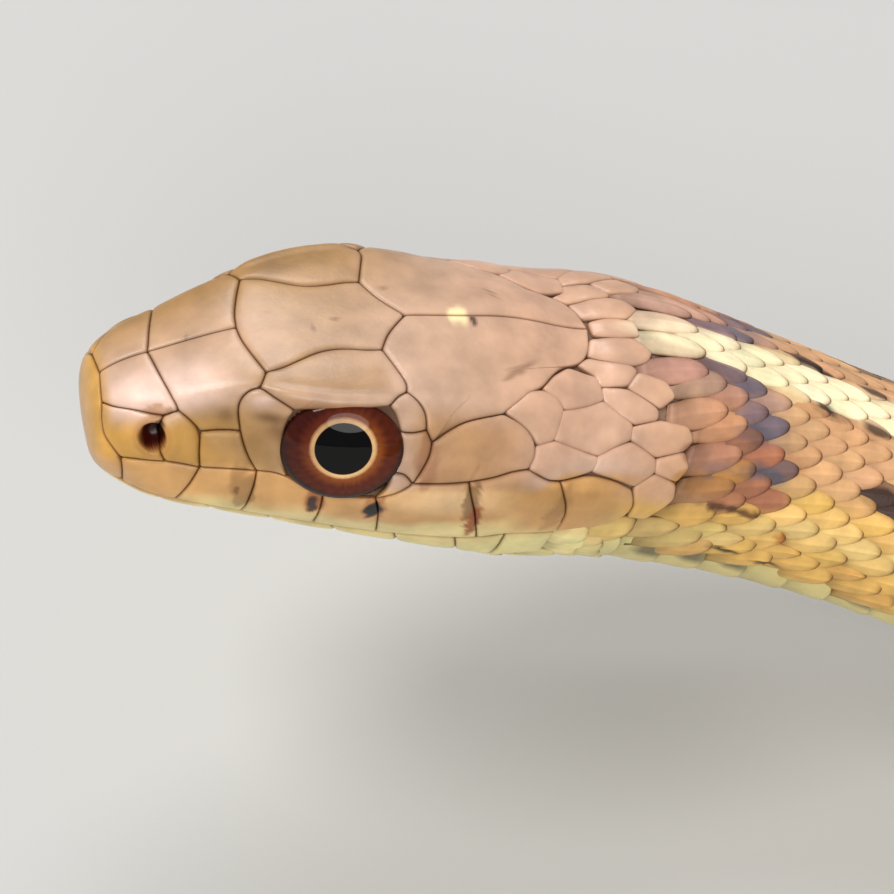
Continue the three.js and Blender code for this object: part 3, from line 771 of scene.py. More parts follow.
def to_disc(sw):
    r = np.interp(sw[..., 0], CHART_S, CHART_R)
    angle = sw[..., 1] * np.pi / 5
    return np.stack([r * np.sin(angle), r * np.cos(angle)], -1)


def from_disc(xy):
    s = np.interp(np.hypot(xy[..., 0], xy[..., 1]), CHART_R, CHART_S)
    return np.stack([s, np.arctan2(xy[..., 0], xy[..., 1]) * 5 / np.pi], -1)


# The rings of a plate: those of its rolled edge in millimetres from the outline, then shares of the way in.
BAND = np.array([0, 0.02, 0.05, 0.1, 0.18, 0.3])
INNER = np.array([0.09, 0.18, 0.27, 0.37, 0.47, 0.57, 0.67, 0.77, 0.87, 0.95])
RING_LIFT = np.array([-0.1, -0.03, 0.015, 0.04, 0.058, *[0.065] * (len(INNER) + 1)])
RING_GROOVE = np.array([1.0, 0.85, 0.4, 0.1, *[0.0] * (len(INNER) + 2)])
SMALLEST_DEPTH = 0.2
HEAD_CHART_LENGTH = 30.0


def plate_places(loop, core, soften, disc):
    """Places over a plate, ring by ring and then its centre, and how far in each place of a ring lies."""
    ends = surface(loop[:, 0], loop[:, 1], 0)
    if np.sum(np.cross(ends, np.roll(ends, -1, 0)) @ outward(*core)) < 0:
        loop = loop[::-1]
    chart = to_disc(loop) if disc else loop
    hub = to_disc(core) if disc else core
    for _ in range(soften):
        chart = 0.5 * chart + 0.25 * (np.roll(chart, 1, 0) + np.roll(chart, -1, 0))
    s, w = (from_disc(chart) if disc else chart).T
    edge = surface(s, w, 0)
    tangent = np.roll(edge, -1, 0) - np.roll(edge, 1, 0)
    tangent /= np.linalg.norm(tangent, axis=1, keepdims=True) + 1e-9
    inward = np.cross(outward(s, w), tangent)
    depth = np.maximum(SMALLEST_DEPTH, np.einsum("ij,ij->i", surface(*core, 0) - edge, inward))
    share = np.minimum(BAND[:, None] / depth, 0.6 * np.linspace(0, 1, len(BAND))[:, None] ** 0.8)
    share = np.concatenate([share, share[-1] + (1 - share[-1]) * INNER[:, None]])
    rings = chart[None] + (hub - chart)[None] * share[..., None]
    rings = np.concatenate([rings.reshape(-1, 2), hub[None]])
    return from_disc(rings) if disc else rings, share


def add_plate(sheet, outline, centre, dome, soften=1, disc=False, mirror=True):
    """A plate with a rolled edge inside a closed outline, and its mirror image."""
    for side in (1, -1) if mirror else (1,):
        places, share = plate_places(outline * [1, side], np.array(centre, float) * [1, side], soften, disc)
        s, w = places.T
        rings, count = share.shape
        lift = np.append(np.repeat(RING_LIFT, count), RING_LIFT[-1])
        lift = lift + dome * (1 - (1 - np.append(share.ravel(), 1)) ** 2.5)
        pit = ring_distance(s, np.abs(w), NOSTRIL_SPOT, NOSTRIL_REACH)
        points = surface(s, w, lift - NOSTRIL_DEPTH * ease((1.15 - pit) / 0.6))
        last = np.arange(count) + (rings - 1) * count
        faces = np.concatenate([grid_faces(rings, count, closed=True), fan(last, rings * count)])
        colour = dressed_head_tone(s, w)
        # Painted shade in the groove of the rolled edge, over the dark line of the suture.
        colour = mix(colour, colour * GROOVE_SHADE, np.append(np.repeat(RING_GROOVE, count), 0))
        uv = np.stack([np.interp(s, CHART_S, CHART_R) / HEAD_CHART_LENGTH, w / 10 + 0.5], -1)
        sheet.add(points, faces, colour, np.clip(uv, 0.001, 0.999))


# The head's plates on one side: the seams around each, its centre and the height of its dome.
PLATES = {
    "internasal": (["internasal_mid", "internasal_back", "-nasal_top_back", "-nasal_top", "-rostral_top"],
                   (1.9, 0.6), 0.05),
    "nasal_front": (["rostral_side", "nasal_foot", "-nasal_split", "-nasal_top"], (1.2, 1.45), 0.02),
    "nasal_back": (["nasal_top_back", "nasal_back", "-nasal_foot_back", "-nasal_split"], (3.65, 1.65), 0.06),
    "prefrontal": (["internasal_back", "nasal_back_high", "loreal_top", "preocular_front", "-prefrontal_brow",
                    "-prefrontal_back", "-prefrontal_mid"], (4.9, 0.75), 0.04),
    "loreal": (["loreal_top", "loreal_back", "-loreal_foot", "-loreal_front"], (5.2, 1.79), 0.03),
    "preocular": (["preocular_front", "brow_front", "-eye_front", "-preocular_foot", "-loreal_back"],
                  (6.8, 1.5), 0.05),
    "supraocular": (["prefrontal_brow", "brow_front", "eye_top", "brow_back", "-parietal_front",
                     "-frontal_side"], (9.9, 0.8), 0.05),
    "parietal": (["parietal_front", "parietal_postocular", "parietal_step", "parietal_temporal",
                  "parietal_second", "parietal_back", "-parietal_mid", "-frontal_back"], (16.2, 0.62), 0.03),
    "postocular_high": (["brow_back", "parietal_postocular", "-postocular_split", "-eye_back_high"],
                        (12.7, 1.2), 0.1),
    "postocular_mid": (["postocular_split", "parietal_step", "postocular_back", "-postocular_low",
                        "-eye_back"], (12.85, 1.58), 0.05),
    "postocular_low": (["postocular_low", "-postocular_foot", "-eye_back_low"], (12.05, 1.9), 0.07),
    "temporal": (["parietal_temporal", "temporal_back", "-temporal_foot_back", "-temporal_foot",
                  "-postocular_back"], (15.6, 1.54), 0.08),
    "labial_1": (["nasal_foot", "nasal_foot_back", "labial_12", (3.15, 1.1), "-rostral_foot"],
                 (2.6, 2.4), 0.05),
    "labial_2": (["loreal_foot", "labial_23", (5.9, 3.15), "-labial_12"], (4.9, 2.5), 0.05),
    "labial_3": (["preocular_foot", "eye_foot", "labial_34", (9.0, 5.9), "-labial_23"], (7.6, 2.55), 0.05),
    "labial_4": (["eye_foot_back", "labial_45", (11.8, 9.0), "-labial_34"], (10.3, 2.68), 0.05),
    "labial_5": (["postocular_foot", "temporal_foot", "labial_56", (16.4, 11.8), "-labial_45"],
                 (13.8, 2.5), 0.07),
    "labial_6": (["temporal_foot_back", "labial_6_top", "labial_67", (21.0, 16.4), "-labial_56"],
                 (18.2, 2.35), 0.08),
    "labial_7": (["labial_7_top", "labial_7_back", (22.4, 21.0), "-labial_67"], (22.0, 2.15), 0.1),
}
# The corners of the small plates behind them, on one side and on the middle line.
NAPE_PLATES = [
    [(17.05, 1.06), (17.35, 0.92), T2, (18.4, 0.72), (18.95, 0.78), (19.1, 0.92), (18.85, 1.32),
     (18.15, 1.41), (17.8, 1.27), (17.4, 1.16)],
    [(18.45, 0.69), (18.95, 0.55), (19.6, 0.45), (20.9, 0.52), (21.1, 0.74), (19.2, 0.9), (19.0, 0.78)],
    [(19.15, 0.93), (21.1, 0.77), (22.6, 1.08), (22.7, 1.26), (21.2, 1.44), (18.9, 1.34)],
    [(18.15, 1.44), (18.9, 1.36), (21.1, 1.47), (21.1, 1.6), (19.5, 1.74), (18.9, 1.76), (17.95, 1.68),
     (18.15, 1.56)],
    [(21.2, 1.46), (22.8, 1.3), (24.3, 1.44), (24.5, 1.58), (23.7, 1.78), (22.5, 1.7), (21.1, 1.62)],
    [(21.15, 0.62), (22.5, 0.66), (23.9, 0.86), (23.9, 0.98), (22.7, 1.08), (21.2, 0.78)],
    [(20.15, 0.41), (20.7, 0.33), (22.8, 0.41), (23.0, 0.47), (22.45, 0.62), (21.0, 0.6), (20.9, 0.5)],
    [(22.75, 1.12), (24.1, 0.99), (25.7, 1.0), (26.2, 1.14), (25.8, 1.28), (24.3, 1.41), (22.8, 1.27)],
    [(24.4, 1.43), (25.9, 1.29), (26.5, 1.46), (26.1, 1.66), (24.6, 1.6)],
    [(22.55, 0.63), (23.1, 0.48), (24.4, 0.56), (24.85, 0.7), (24.0, 0.85), (22.6, 0.66)],
    [(20.95, 0.2), (21.1, 0.13), (23.2, 0.12), (23.85, 0.26), (23.5, 0.37), (22.9, 0.41), (20.75, 0.31)],
    [(23.75, 1.8), (24.6, 1.62), (26.1, 1.7), (26.5, 1.9), (25.7, 2.32), (24.5, 2.32), (24.4, 2.05)],
]
MIDDLE_NAPE = [(21.2, -0.09), (21.2, 0.09), (22.6, 0.13), (23.6, 0.1), (23.6, -0.1), (22.6, -0.13)]
NAPE_GROWTH = 1.1
NAPE_SOFTENING = 4


def add_rostral(sheet):
    """The plate across the tip of the snout."""
    front = seam("rostral")
    foot = from_disc(np.linspace(to_disc(front[-1]), [0, -1.35], 14)[1:])
    half = np.concatenate([front, foot])
    whole = np.concatenate([half, half[-2:0:-1] * [1, -1]])
    add_plate(sheet, whole, (0.02, 0.0), 0.05, disc=True, mirror=False)


def make_head_plates(material):
    sheet = Sheet()
    for names, centre, dome in PLATES.values():
        add_plate(sheet, outline_of(names), centre, dome)
    for corners in NAPE_PLATES:
        centre = np.mean(corners, axis=0)
        grown = centre + (np.array(corners) - centre) * NAPE_GROWTH
        add_plate(sheet, closed_line(grown), centre, 0.07, NAPE_SOFTENING)
    add_plate(sheet, closed_line(MIDDLE_NAPE), (22.2, 0), 0.06, NAPE_SOFTENING, mirror=False)
    frontal = outline_of(FRONTAL_SEAMS)
    add_plate(sheet, np.concatenate([frontal, frontal[::-1] * [1, -1]]), (9.6, 0), 0.03, mirror=False)
    add_rostral(sheet)
    return sheet.build("head_plates", material)


# The lower jaw: a mental at the tip, a row along the lip, two pairs of shields and small throat scales.
JAW_ENDS = [2.3, 4.4, 7.0, 9.8, 12.6, 15.4, 18.2, 21.0]
JAW_FOOT = [(2, 3.72), (7, 3.95), (12.6, 4.0), (18.2, 3.86), (22, 3.5)]
JAW_LEAN = 0.6
MENTAL_BACK = (3.2, 5)
SHIELDS = [
    [MENTAL_BACK, (2.95, 3.85), (5, 3.95), (8.2, 3.98), (9.2, 4.4), (9.0, 5)],
    [(9.0, 5), (9.2, 4.4), (8.4, 4.0), (11, 4.02), (13.6, 4.04), (15.2, 4.5), (15.0, 5)],
]


def jaw_foot(s):
    return along(JAW_FOOT, s)


def add_mental(sheet):
    """The plate at the tip of the lower jaw."""
    first = JAW_ENDS[0]
    tip = from_disc(np.linspace([0, -1.4], to_disc(np.array([1.1, 2.9])), 10))
    flank = [*tip, (first, lip_line(first)), (first + JAW_LEAN, jaw_foot(first + JAW_LEAN)), MENTAL_BACK]
    half = dense_line(flank)
    mirrored = (half * [1, -1])[::-1]
    mirrored[:, 1] = np.where(np.abs(mirrored[:, 1]) > 4.999, 5, mirrored[:, 1])
    whole = np.concatenate([half, [MENTAL_BACK], mirrored[:-1]])
    add_plate(sheet, whole, (2.0, 5), 0.04, disc=True, mirror=False)


def make_jaw_plates(material):
    sheet = Sheet()
    for a, b in zip(JAW_ENDS[:-1], JAW_ENDS[1:]):
        low_a, low_b = a + JAW_LEAN, b + JAW_LEAN
        parts = [
            curve(lip_line, a, b, 8)[:-1], dense_line([(b, lip_line(b)), (low_b, jaw_foot(low_b))]),
            curve(jaw_foot, low_b, low_a, 8)[:-1], dense_line([(low_a, jaw_foot(low_a)), (a, lip_line(a))]),
        ]
        centre = ((a + low_b) / 2, 0.5 * (lip_line(a) + jaw_foot(a)))
        add_plate(sheet, np.concatenate(parts), centre, 0.05)
    add_mental(sheet)
    for corners in SHIELDS:
        add_plate(sheet, closed_line(corners), np.mean(corners, axis=0) - [0, 0.1], 0.05)
    return sheet.build("jaw_plates", material)


THROAT = (15.6, 25.0)
THROAT_STEP = 1.75
THROAT_ROWS = [3.42, 3.7, 3.98, 4.22, 4.42, 4.61, 4.8, 5.0]
CORNER_SCALES = [(21.9, 2.86, 0), (22.5, 3.14, 1), (23.2, 2.86, 0), (23.8, 3.14, 1)]


def make_throat(material):
    """Small smooth scales behind the shields of the chin and at the corners of the mouth."""
    places = []
    rings = np.arange(*THROAT, THROAT_STEP)
    for j, s in enumerate(rings):
        for k, v in enumerate(THROAT_ROWS):
            at = s + (THROAT_STEP / 2 if k % 2 else 0)
            if v < jaw_foot(at) + 0.1 and at < JAW_ENDS[-1] + 0.2:
                continue
            for side in (-1, 1) if v < 5 else (1,):
                patch = [j / len(rings), 0.5 + side * (k + 1) / 20, 1 / len(rings), 1 / 20]
                places.append([at, side * v, *patch])
    for at, v, row in CORNER_SCALES:
        places += [[at, side * v, 0, 0.02 + 0.01 * row, 0.1, 0.01] for side in (-1, 1)]
    table = np.array(places)
    size = np.full(len(table), THROAT_STEP * 1.5)
    sheet = Sheet()
    s, w = table[:, :2].T
    add_scales(sheet, s, w, size, size * 0.38, table[:, 2:], dressed_head_tone, 0 * size, 0)
    return sheet.build("throat_scales", material)


# Where a scale's points lie, from root to tip and from edge to edge: near the head, and further back.
SCALE_T = np.array([0, 0.15, 0.3, 0.45, 0.6, 0.72, 0.82, 0.9, 0.95, 0.985, 1.0])
SCALE_Q = np.array([-1, -0.93, -0.84, -0.6, -0.3, -0.08, 0, 0.08, 0.3, 0.6, 0.84, 0.93, 1])
FAR_T = np.array([0, 0.2, 0.45, 0.66, 0.82, 0.93, 1.0])
FAR_Q = np.array([-1, -0.8, -0.4, -0.1, 0, 0.1, 0.4, 0.8, 1])
SCALE_OVERLAP = 1.36
SCALE_WIDTH = 1.04
SCALE_SLENDERNESS = 2.7
SCALE_BLUNTNESS = 3.0
WIDEST_AT = 0.42
# Heights of a scale of this half width, and the size of its underside and its keel as shares of its own.
FULL_HALF_WIDTH = 1.3
TIP_RISE = 0.19
ROOT_DEPTH = 0.1
UNDERSIDE_DEPTH = 0.18
UNDERSIDE_SIZE = 0.94
KEEL_HALF_WIDTH = 0.09
# How much of a scale's colour is that of its own middle, the rest following the markings.
OWN_SHARE = 0.68


def scale_outline(t):
    """Half width of a scale from its root at 0 to its tip at 1."""
    root = 0.82 + 0.18 * ease(t / 0.45)
    toward_tip = np.clip(t - WIDEST_AT, 0, 1) / (1 - WIDEST_AT)
    return root * np.sqrt(np.clip(1 - toward_tip**SCALE_BLUNTNESS, 0, 1))


def edge_distance(t, q):
    """How far a place on a scale lies inside its outline, as a share of its half width."""
    shares = np.linspace(WIDEST_AT, 1, 60)
    width = scale_outline(t)
    end = np.interp(np.abs(q) * width, scale_outline(shares)[::-1], shares[::-1])
    sideways = (1 - np.abs(q)) * width + 1e-6
    lengthwise = (end - t) * SCALE_SLENDERNESS + 1e-6
    return 1 / np.hypot(1 / sideways, 1 / lengthwise)


def scale_lift(t, q, keel):
    """Height of a scale's top over the skin."""
    slope = -ROOT_DEPTH + (TIP_RISE + ROOT_DEPTH) * t**0.8
    ridge = keel * np.exp(-((q / KEEL_HALF_WIDTH) ** 2)) * ease((t - 0.12) / 0.3) * ease((1.02 - t) / 0.12)
    crown = 0.09 * (1 - q**2) * ease(t / 0.4) * ease((1.04 - t) / 0.3)
    turned_down = ((t == 1) | (np.abs(q) == 1)) & (t > 0.05)
    return slope * (1 - 0.85 * np.abs(q) ** 5) + ridge + crown - 0.05 * turned_down


def small_marks(colour, s, w):
    v, _ = around(w)
    return lay_marks(colour, s, v, SMALL_MARKS, 1.3, 0.4, 0.25 * bumps(s, w, 63, 0.3))


def shaded_scales(colour, t, q):
    """Scales' colour with painted shade at the root, under the tip of the scale before, darkened at the edge
    and the rim, partly for the dark skin between scales and partly as painted shade, and a little paler on
    the keel.
    """
    dim = 1.05 - 0.4 * ease((0.5 - t) / 0.36) + 0.1 * np.exp(-((q / 0.1) ** 2))
    dim = dim + 0.08 * between(t, 0.5, 0.3, 0.9, 0.1)
    inside = edge_distance(t, q)
    edge = ease((0.24 - inside) / 0.2) * 0.85
    rim = ease((0.1 - inside) / 0.09) * (t > 0.3)
    colour = colour * dim[None, :, None] * (1 - edge[:, None] * (1 - EDGE_SHADE))
    return colour * (1 - rim[:, None] * (1 - RIM_SHADE))


def add_scales(sheet, centre_s, centre_w, length, half, cells, tone_at, tilt, keel, fine=False):
    """Overlapping plates with a keel, one for each centre. cells gives each one's patch of the unwrap."""
    ts, qs = (SCALE_T, SCALE_Q) if fine else (FAR_T, FAR_Q)
    rows, columns, n = len(ts), len(qs), len(centre_s)
    t = ts[None, :, None]
    q = qs[None, None, :]
    size = half[:, None, None]
    along_scale = (t - 0.5) * length[:, None, None]
    per = np.linalg.norm(bare(centre_s, centre_w + 0.05) - bare(centre_s, centre_w - 0.05), axis=-1) / 0.1
    across = q * scale_outline(t) * size - along_scale * tilt[:, None, None]
    s = np.clip(centre_s[:, None, None] + along_scale + 0 * q, 0.1, TOTAL_LENGTH - 0.02)
    w = centre_w[:, None, None] + across / per[:, None, None]
    relative = size / FULL_HALF_WIDTH
    top = surface(s, w, scale_lift(t, q, np.broadcast_to(keel, (n,))[:, None, None]) * relative)
    rim = grid_rim(rows, columns)
    s, w = s.reshape(n, -1), w.reshape(n, -1)
    rim_s = centre_s[:, None] + (s[:, rim] - centre_s[:, None]) * UNDERSIDE_SIZE
    rim_w = centre_w[:, None] + (w[:, rim] - centre_w[:, None]) * UNDERSIDE_SIZE
    under_lift = TIP_RISE * 0.8 * np.repeat(ts, columns)[rim] ** 0.8 - UNDERSIDE_DEPTH
    points = np.concatenate([top.reshape(n, -1, 3), surface(rim_s, rim_w, under_lift * relative[:, 0])], 1)
    under = rows * columns + np.arange(len(rim))
    faces = np.concatenate([grid_faces(rows, columns), skirt(rim, under), lid(under)])
    faces = faces[None] + (np.arange(n) * points.shape[1])[:, None, None]
    s, w = np.concatenate([s, rim_s], 1), np.concatenate([w, rim_w], 1)
    t, q = np.repeat(ts, columns), np.tile(qs, rows)
    t, q = np.append(t, t[rim]), np.append(q, q[rim])
    own = tone_at(centre_s + 0.15 * length, centre_w)[:, None]
    colour = OWN_SHARE * own + (1 - OWN_SHARE) * tone_at(s, w)
    if fine:
        colour = small_marks(colour, s, w)
    colour = shaded_scales(colour, t, q)
    # The undersides take painted shade: half as bright.
    colour[:, rows * columns :] *= 0.5
    jitter = np.random.default_rng(17).normal(1, 0.07, (n, 1, 1))
    jitter = jitter + np.random.default_rng(18).normal(0, 0.02, (n, 1, 3))
    u0, v0, du, dv = (column[:, None] for column in cells.T)
    uv = np.stack([u0 + du * (0.06 + 0.88 * t), v0 + dv * (0.5 + 0.44 * q)], -1)
    sheet.add(points, faces, np.clip(colour * jitter, 0, 1), uv)


def arc_table(s):
    """Distance over the skin from the crown to each place around the body."""
    v = np.linspace(0, 5, 121)
    line = bare(np.full_like(v, s), v)
    return v, np.concatenate([[0], np.cumsum(np.linalg.norm(np.diff(line, axis=0), axis=1))])


VENTRAL_EDGE = [(22, 2.75), (36, 2.62), (60, 3.15), (90, 3.35), (640, 3.35)]
# Length of a row of scales as a share of the body's half width.
ROW_LENGTH = 0.4
PITCH = [(20, 1.05), (40, 1.12), (70, 1.0), (640, 1.0)]
TAIL_PITCH = (0.52, 0.16)
# How many rows of scales there are around the body, up to each distance along it.
ROWS = [
    (40, 27), (50, 25), (62, 23), (400, 21), (450, 19), (490, 17), (505, 15), (525, 12), (560, 10), (600, 8),
    (641, 6),
]
# Where the body's scales take over from the plates drawn one by one, as [around, along].
FIRST_SCALE = [
    (0, 24.2), (0.25, 24.8), (0.45, 25.0), (0.7, 25.6), (0.95, 26.3), (1.2, 27.0), (1.5, 27.1), (1.9, 26.9),
    (2.3, 25.9), (2.5, 24.4), (2.9, 22.4),
]
FIRST_RING = 20.5
LAST_RING_GAP = 1.2
LAST_SCALE_GAP = 1.4
# The rows on the sides of the neck drop toward the head, up to this place.
CLIMB_TO = 46
NECK_CLIMB = 0.3
# Rows grow wider toward the belly by this share, and extra ones fill in where the neck's rows have dropped.
ROW_GROWTH = 0.2
EXTRA_ROWS = 14
MIDDLE_ROWS = 1
PIECES = [(0, 62), (62, 150), (150, 240), (240, 330), (330, 415), (415, 505), (505, 641)]


def ventral_edge(s):
    """How far round the side scales reach before the wide scutes of the belly begin."""
    return along(VENTRAL_EDGE, s)


def pitch(s):
    """Distance from one ring of scales to the next."""
    body = ROW_LENGTH * half_width(s) * along(PITCH, s)
    return np.where(s < VENT_AT, body, TAIL_PITCH[0] * half_width(s) + TAIL_PITCH[1])


def row_count(s):
    return next(rows for until, rows in ROWS if s < until)


def neck_climb(s):
    """How far the rows on the sides of the neck have dropped, going forward."""
    lead = np.clip(CLIMB_TO - s, 0, 40)
    return NECK_CLIMB * lead**2 / (lead + 9)


def ring_places():
    """Where each ring of scales lies."""
    places = [FIRST_RING]
    while places[-1] < TOTAL_LENGTH - LAST_RING_GAP:
        places.append(places[-1] + float(pitch(places[-1])))
    return np.array(places)


RINGS = ring_places()


def ring_of_scales(j, ring, count):
    """Each scale of one ring: its place, length, half width and patch of the unwrap."""
    rows = row_count(ring)
    v, run = arc_table(ring)
    edge = np.interp(ventral_edge(ring), v, run)
    first_row = 2 * edge / (1 + ROW_GROWTH) / rows
    step = float(pitch(ring))
    lines = EXTRA_ROWS + rows
    found = []
    middle_rows = [(row, False) for row in range(MIDDLE_ROWS + 1)]
    side_rows = [(row, True) for row in range(-EXTRA_ROWS, rows // 2 + 1)]
    for row, climbing in middle_rows + side_rows:
        s = ring + (step / 2 if row % 2 else 0)
        share = 2 * row / rows
        place = edge * (share + ROW_GROWTH * share * abs(share)) / (1 + ROW_GROWTH)
        if climbing:
            place += float(neck_climb(s))
            if place < (MIDDLE_ROWS + 0.6) * first_row or place > edge * 1.01:
                continue
        around_v = float(np.interp(place, run, v))
        if s < along(FIRST_SCALE, around_v) or s > TOTAL_LENGTH - LAST_SCALE_GAP:
            continue
        half = first_row * (1 + 2 * ROW_GROWTH * place / edge) * SCALE_WIDTH
        for side in (-1, 1) if place else (1,):
            line = lines + side * (EXTRA_ROWS / 2 + 1 + row / 2)
            patch = [j / count, line / (2 * lines), 1 / count, 0.5 / (2 * lines)]
            found.append([s, side * around_v, step * SCALE_OVERLAP, half, *patch])
    return found


def make_body_scales(material):
    wander = np.random.default_rng(29)
    for index, (start, stop) in enumerate(PIECES):
        rings = [s for s in RINGS if start <= s < stop]
        found = [scale for j, ring in enumerate(rings) for scale in ring_of_scales(j, ring, len(rings))]
        table = np.array(found)
        s, w, length, half = table[:, :4].T
        s = s + wander.normal(0, 0.03, len(table)) * length
        tilt = np.sign(w) * (neck_climb(s - 1) - neck_climb(s + 1)) / 2 * ease((np.abs(w) - 0.2) / 0.4)
        keel = 0.07 + 0.08 * ease((s - 36) / 30)
        sheet = Sheet()
        add_scales(sheet, s, w, length, half, table[:, 4:], body_tone, tilt, keel, fine=index == 0)
        sheet.build(f"scales_{index + 1}", material)


# The wide scutes: places along one and the number across it, how far it reaches over the next, and its marks.
SCUTE_T = np.array([0, 0.3, 0.6, 0.82, 0.95, 1.0])[:, None]
SCUTE_COLUMNS = 25
TAIL_SCUTE_COLUMNS = 13
SCUTE_LENGTH = 1.25
FIRST_SCUTE = 22.5
MARK_SHARE = 0.55


def add_scute(sheet, ring, a, b, columns, marked, cell):
    """One scute from a to b around the belly. cell is its start and length in the unwrap."""
    t = SCUTE_T
    q = np.linspace(-1, 1, columns)[None]
    s = ring + (t * SCUTE_LENGTH * (1 - 0.3 * np.abs(q) ** 8) - (SCUTE_LENGTH - 1)) * float(pitch(ring))
    s = np.minimum(s, TOTAL_LENGTH - 0.05)
    w = (a + b) / 2 + q * (b - a) / 2 + 0 * t
    small = min(1.0, float(half_width(ring)) / 6)
    lift = (-0.08 + 0.16 * t**0.8 * (1 - 0.7 * np.abs(q) ** 10) - 0.04 * (t == 1)) * small
    points = np.stack([surface(s, w, lift), surface(s, w, lift - (0.05 + 0.06 * t) * small)])
    grid = grid_faces(len(t), columns)
    rim = grid_rim(len(t), columns)
    size = len(t) * columns
    faces = np.concatenate([grid, grid[:, ::-1] + size, skirt(rim, rim + size)])
    mark = ease((0.12 - np.abs(np.abs(q) - 0.9)) / 0.05) * ease((0.35 - np.abs(t - 0.75)) / 0.2)
    colour = mix(belly_tone(s, w), SPOT, mark * marked * 0.75)
    # Painted shade at the root, under the scute before, and a darker line along the tip's edge.
    colour = colour * (1 - 0.3 * ease((0.4 - t) / 0.3) - 0.25 * (t == 1))[..., None]
    uv = np.stack([cell[0] + cell[1] * (0.05 + 0.9 * t + 0 * q), 0.02 + 0.96 * (w - 3) / 4], -1)
    # The underside takes painted shade, at 0.6 of the top's colour.
    sheet.add(points, faces, np.stack([colour, colour * 0.6]), np.stack([uv, uv]))


def make_belly(material):
    """Wide scutes under the body, and two rows of them under the tail."""
    sheet = Sheet()
    starts = [s for s in RINGS if s > FIRST_SCUTE]
    for j, ring in enumerate(starts):
        tail = ring > VENT_AT
        edge = float(ventral_edge(ring)) - 0.12
        marked = np.random.default_rng(j).uniform() < MARK_SHARE
        for a, b in [(edge, 4.99), (5.01, 10 - edge)] if tail else [(edge, 10 - edge)]:
            columns = TAIL_SCUTE_COLUMNS if tail else SCUTE_COLUMNS
            add_scute(sheet, ring, a, b, columns, marked, (j / len(starts), 1 / len(starts)))
    return sheet.build("belly_scutes", material)


SKIN_DEPTH = 0.14
SKIN_AROUND = 200
SKIN_S = np.concatenate([
    NOSE_DEPTH * (1 - (1 - np.linspace(0.03, 0.999, 26) ** NOSE_BLUNTNESS) ** (1 / NOSE_BLUNTNESS)),
    np.arange(3.05, 28, 0.18), np.arange(28, 70, 0.7), np.arange(70, TOTAL_LENGTH - 0.3, 2.4),
    [TOTAL_LENGTH - 0.1],
])
SOCKET_DEPTH = 1.5
PIT_DEPTH = 1.2
MOUTH_DEPTH = 0.16
SKIN_NODES = [
    "head", "lower_jaw", "neck", *[f"body_{i}" for i in range(1, 11)],
    "tail_base", "tail_middle", "tail_tip",
]


def make_skin(material):
    """The skin under the scales, from the snout to the tail's tip."""
    s, w = np.meshgrid(SKIN_S, np.linspace(0, 10, SKIN_AROUND, endpoint=False), indexing="ij")
    v, _ = around(w)
    socket = ring_distance(s, v, EYE_SPOT, EYE_REACH)
    pit = ring_distance(s, v, NOSTRIL_SPOT, NOSTRIL_REACH)
    mouth = ease((0.12 - np.abs(v - lip_line(s))) / 0.1) * (s < MOUTH_END) * (s > 0.6)
    lift = -SKIN_DEPTH * np.clip(half_width(s) / 4, 0.25, 1) - MOUTH_DEPTH * mouth
    lift = lift - SOCKET_DEPTH * ease((1.02 - socket) / 0.22) - PIT_DEPTH * ease((1.6 - pit) / 0.6)
    points = surface(s, w, lift)
    on_head = ease((24 - s) / 4)
    # The skin: darker than the scales over it, partly its own colour and partly painted shade under them;
    # under the head's plates the joints' colour, darker under the chin, and in the nostril dark red-brown
    # with painted shade deep in it.
    colour = paint(
        body_tone(s, w) * 0.42,
        (SUTURE, on_head),
        (CHIN * 0.6, on_head * ease((v - 3.6) / 0.3)),
        (PIT, ease((1.3 - pit) / 0.2)),
        (PIT * 0.3, ease((0.8 - pit) / 0.5)),
    )
    uv = np.stack([s / TOTAL_LENGTH, w / 10], -1)
    points = np.concatenate([points.reshape(-1, 3), [points[0].mean(0), points[-1].mean(0)]])
    colour = np.concatenate([colour.reshape(-1, 3), [SUTURE, SUTURE]])
    uv = np.concatenate([uv.reshape(-1, 2), [[0, 0.5], [1, 0.5]]])
    sheet = Sheet()
    sheet.add(points, capped_faces(*s.shape), colour, uv)
    return sheet.build("skin", material, SKIN_NODES)


# The eye: a clear dome over a red-brown iris with a pale ring about a round pupil.
PUPIL = 1.2
RING = 1.33
PUPIL_RAISED = 0.45
PUPIL_RINGS = [0.3, 0.6, 0.9, 1.1, PUPIL - 0.015, PUPIL + 0.015, 1.28, RING - 0.015, RING + 0.02, 1.45, 1.55]
EYE_BULGE = 0.85
EYE_DEPTH = 1.1
EYE_MARGIN = 0.12
EYE_TURNS = 96
BEHIND_R = 3.0
PUPIL_TONE = tone("060505")
BEHIND_TONE = tone("1a0d0a")


def eye_tone(r, turn):
    """The eye's colour at a distance and a turn from the middle of the pupil."""
    # Painted light: the iris and its pale ring lighter toward the lower back, where light falls through the
    # clear dome.
    lit = 0.5 + 0.5 * np.cos(turn + 0.9)
    inner = mix(tone("5c2416"), tone("96501f"), lit)
    outer = mix(tone("38120d"), tone("5e2410"), lit)
    streaks = 1 + 0.22 * np.sin(turn * 31 + 2 * np.sin(turn * 5)) * np.sin(r * 6)
    ring = ease((RING + 0.09 - r) / 0.1) * (0.5 + 0.5 * lit) * (0.9 + 0.1 * np.sin(turn * 3))
    return paint(
        mix(inner, outer, ease((r - 1.4) / 0.55)) * streaks[..., None],
        (tone("f0c48a"), ring),
        (PUPIL_TONE, r < PUPIL),
        (tone("160a08"), ease((r - 2.2) / 0.5)),
    )


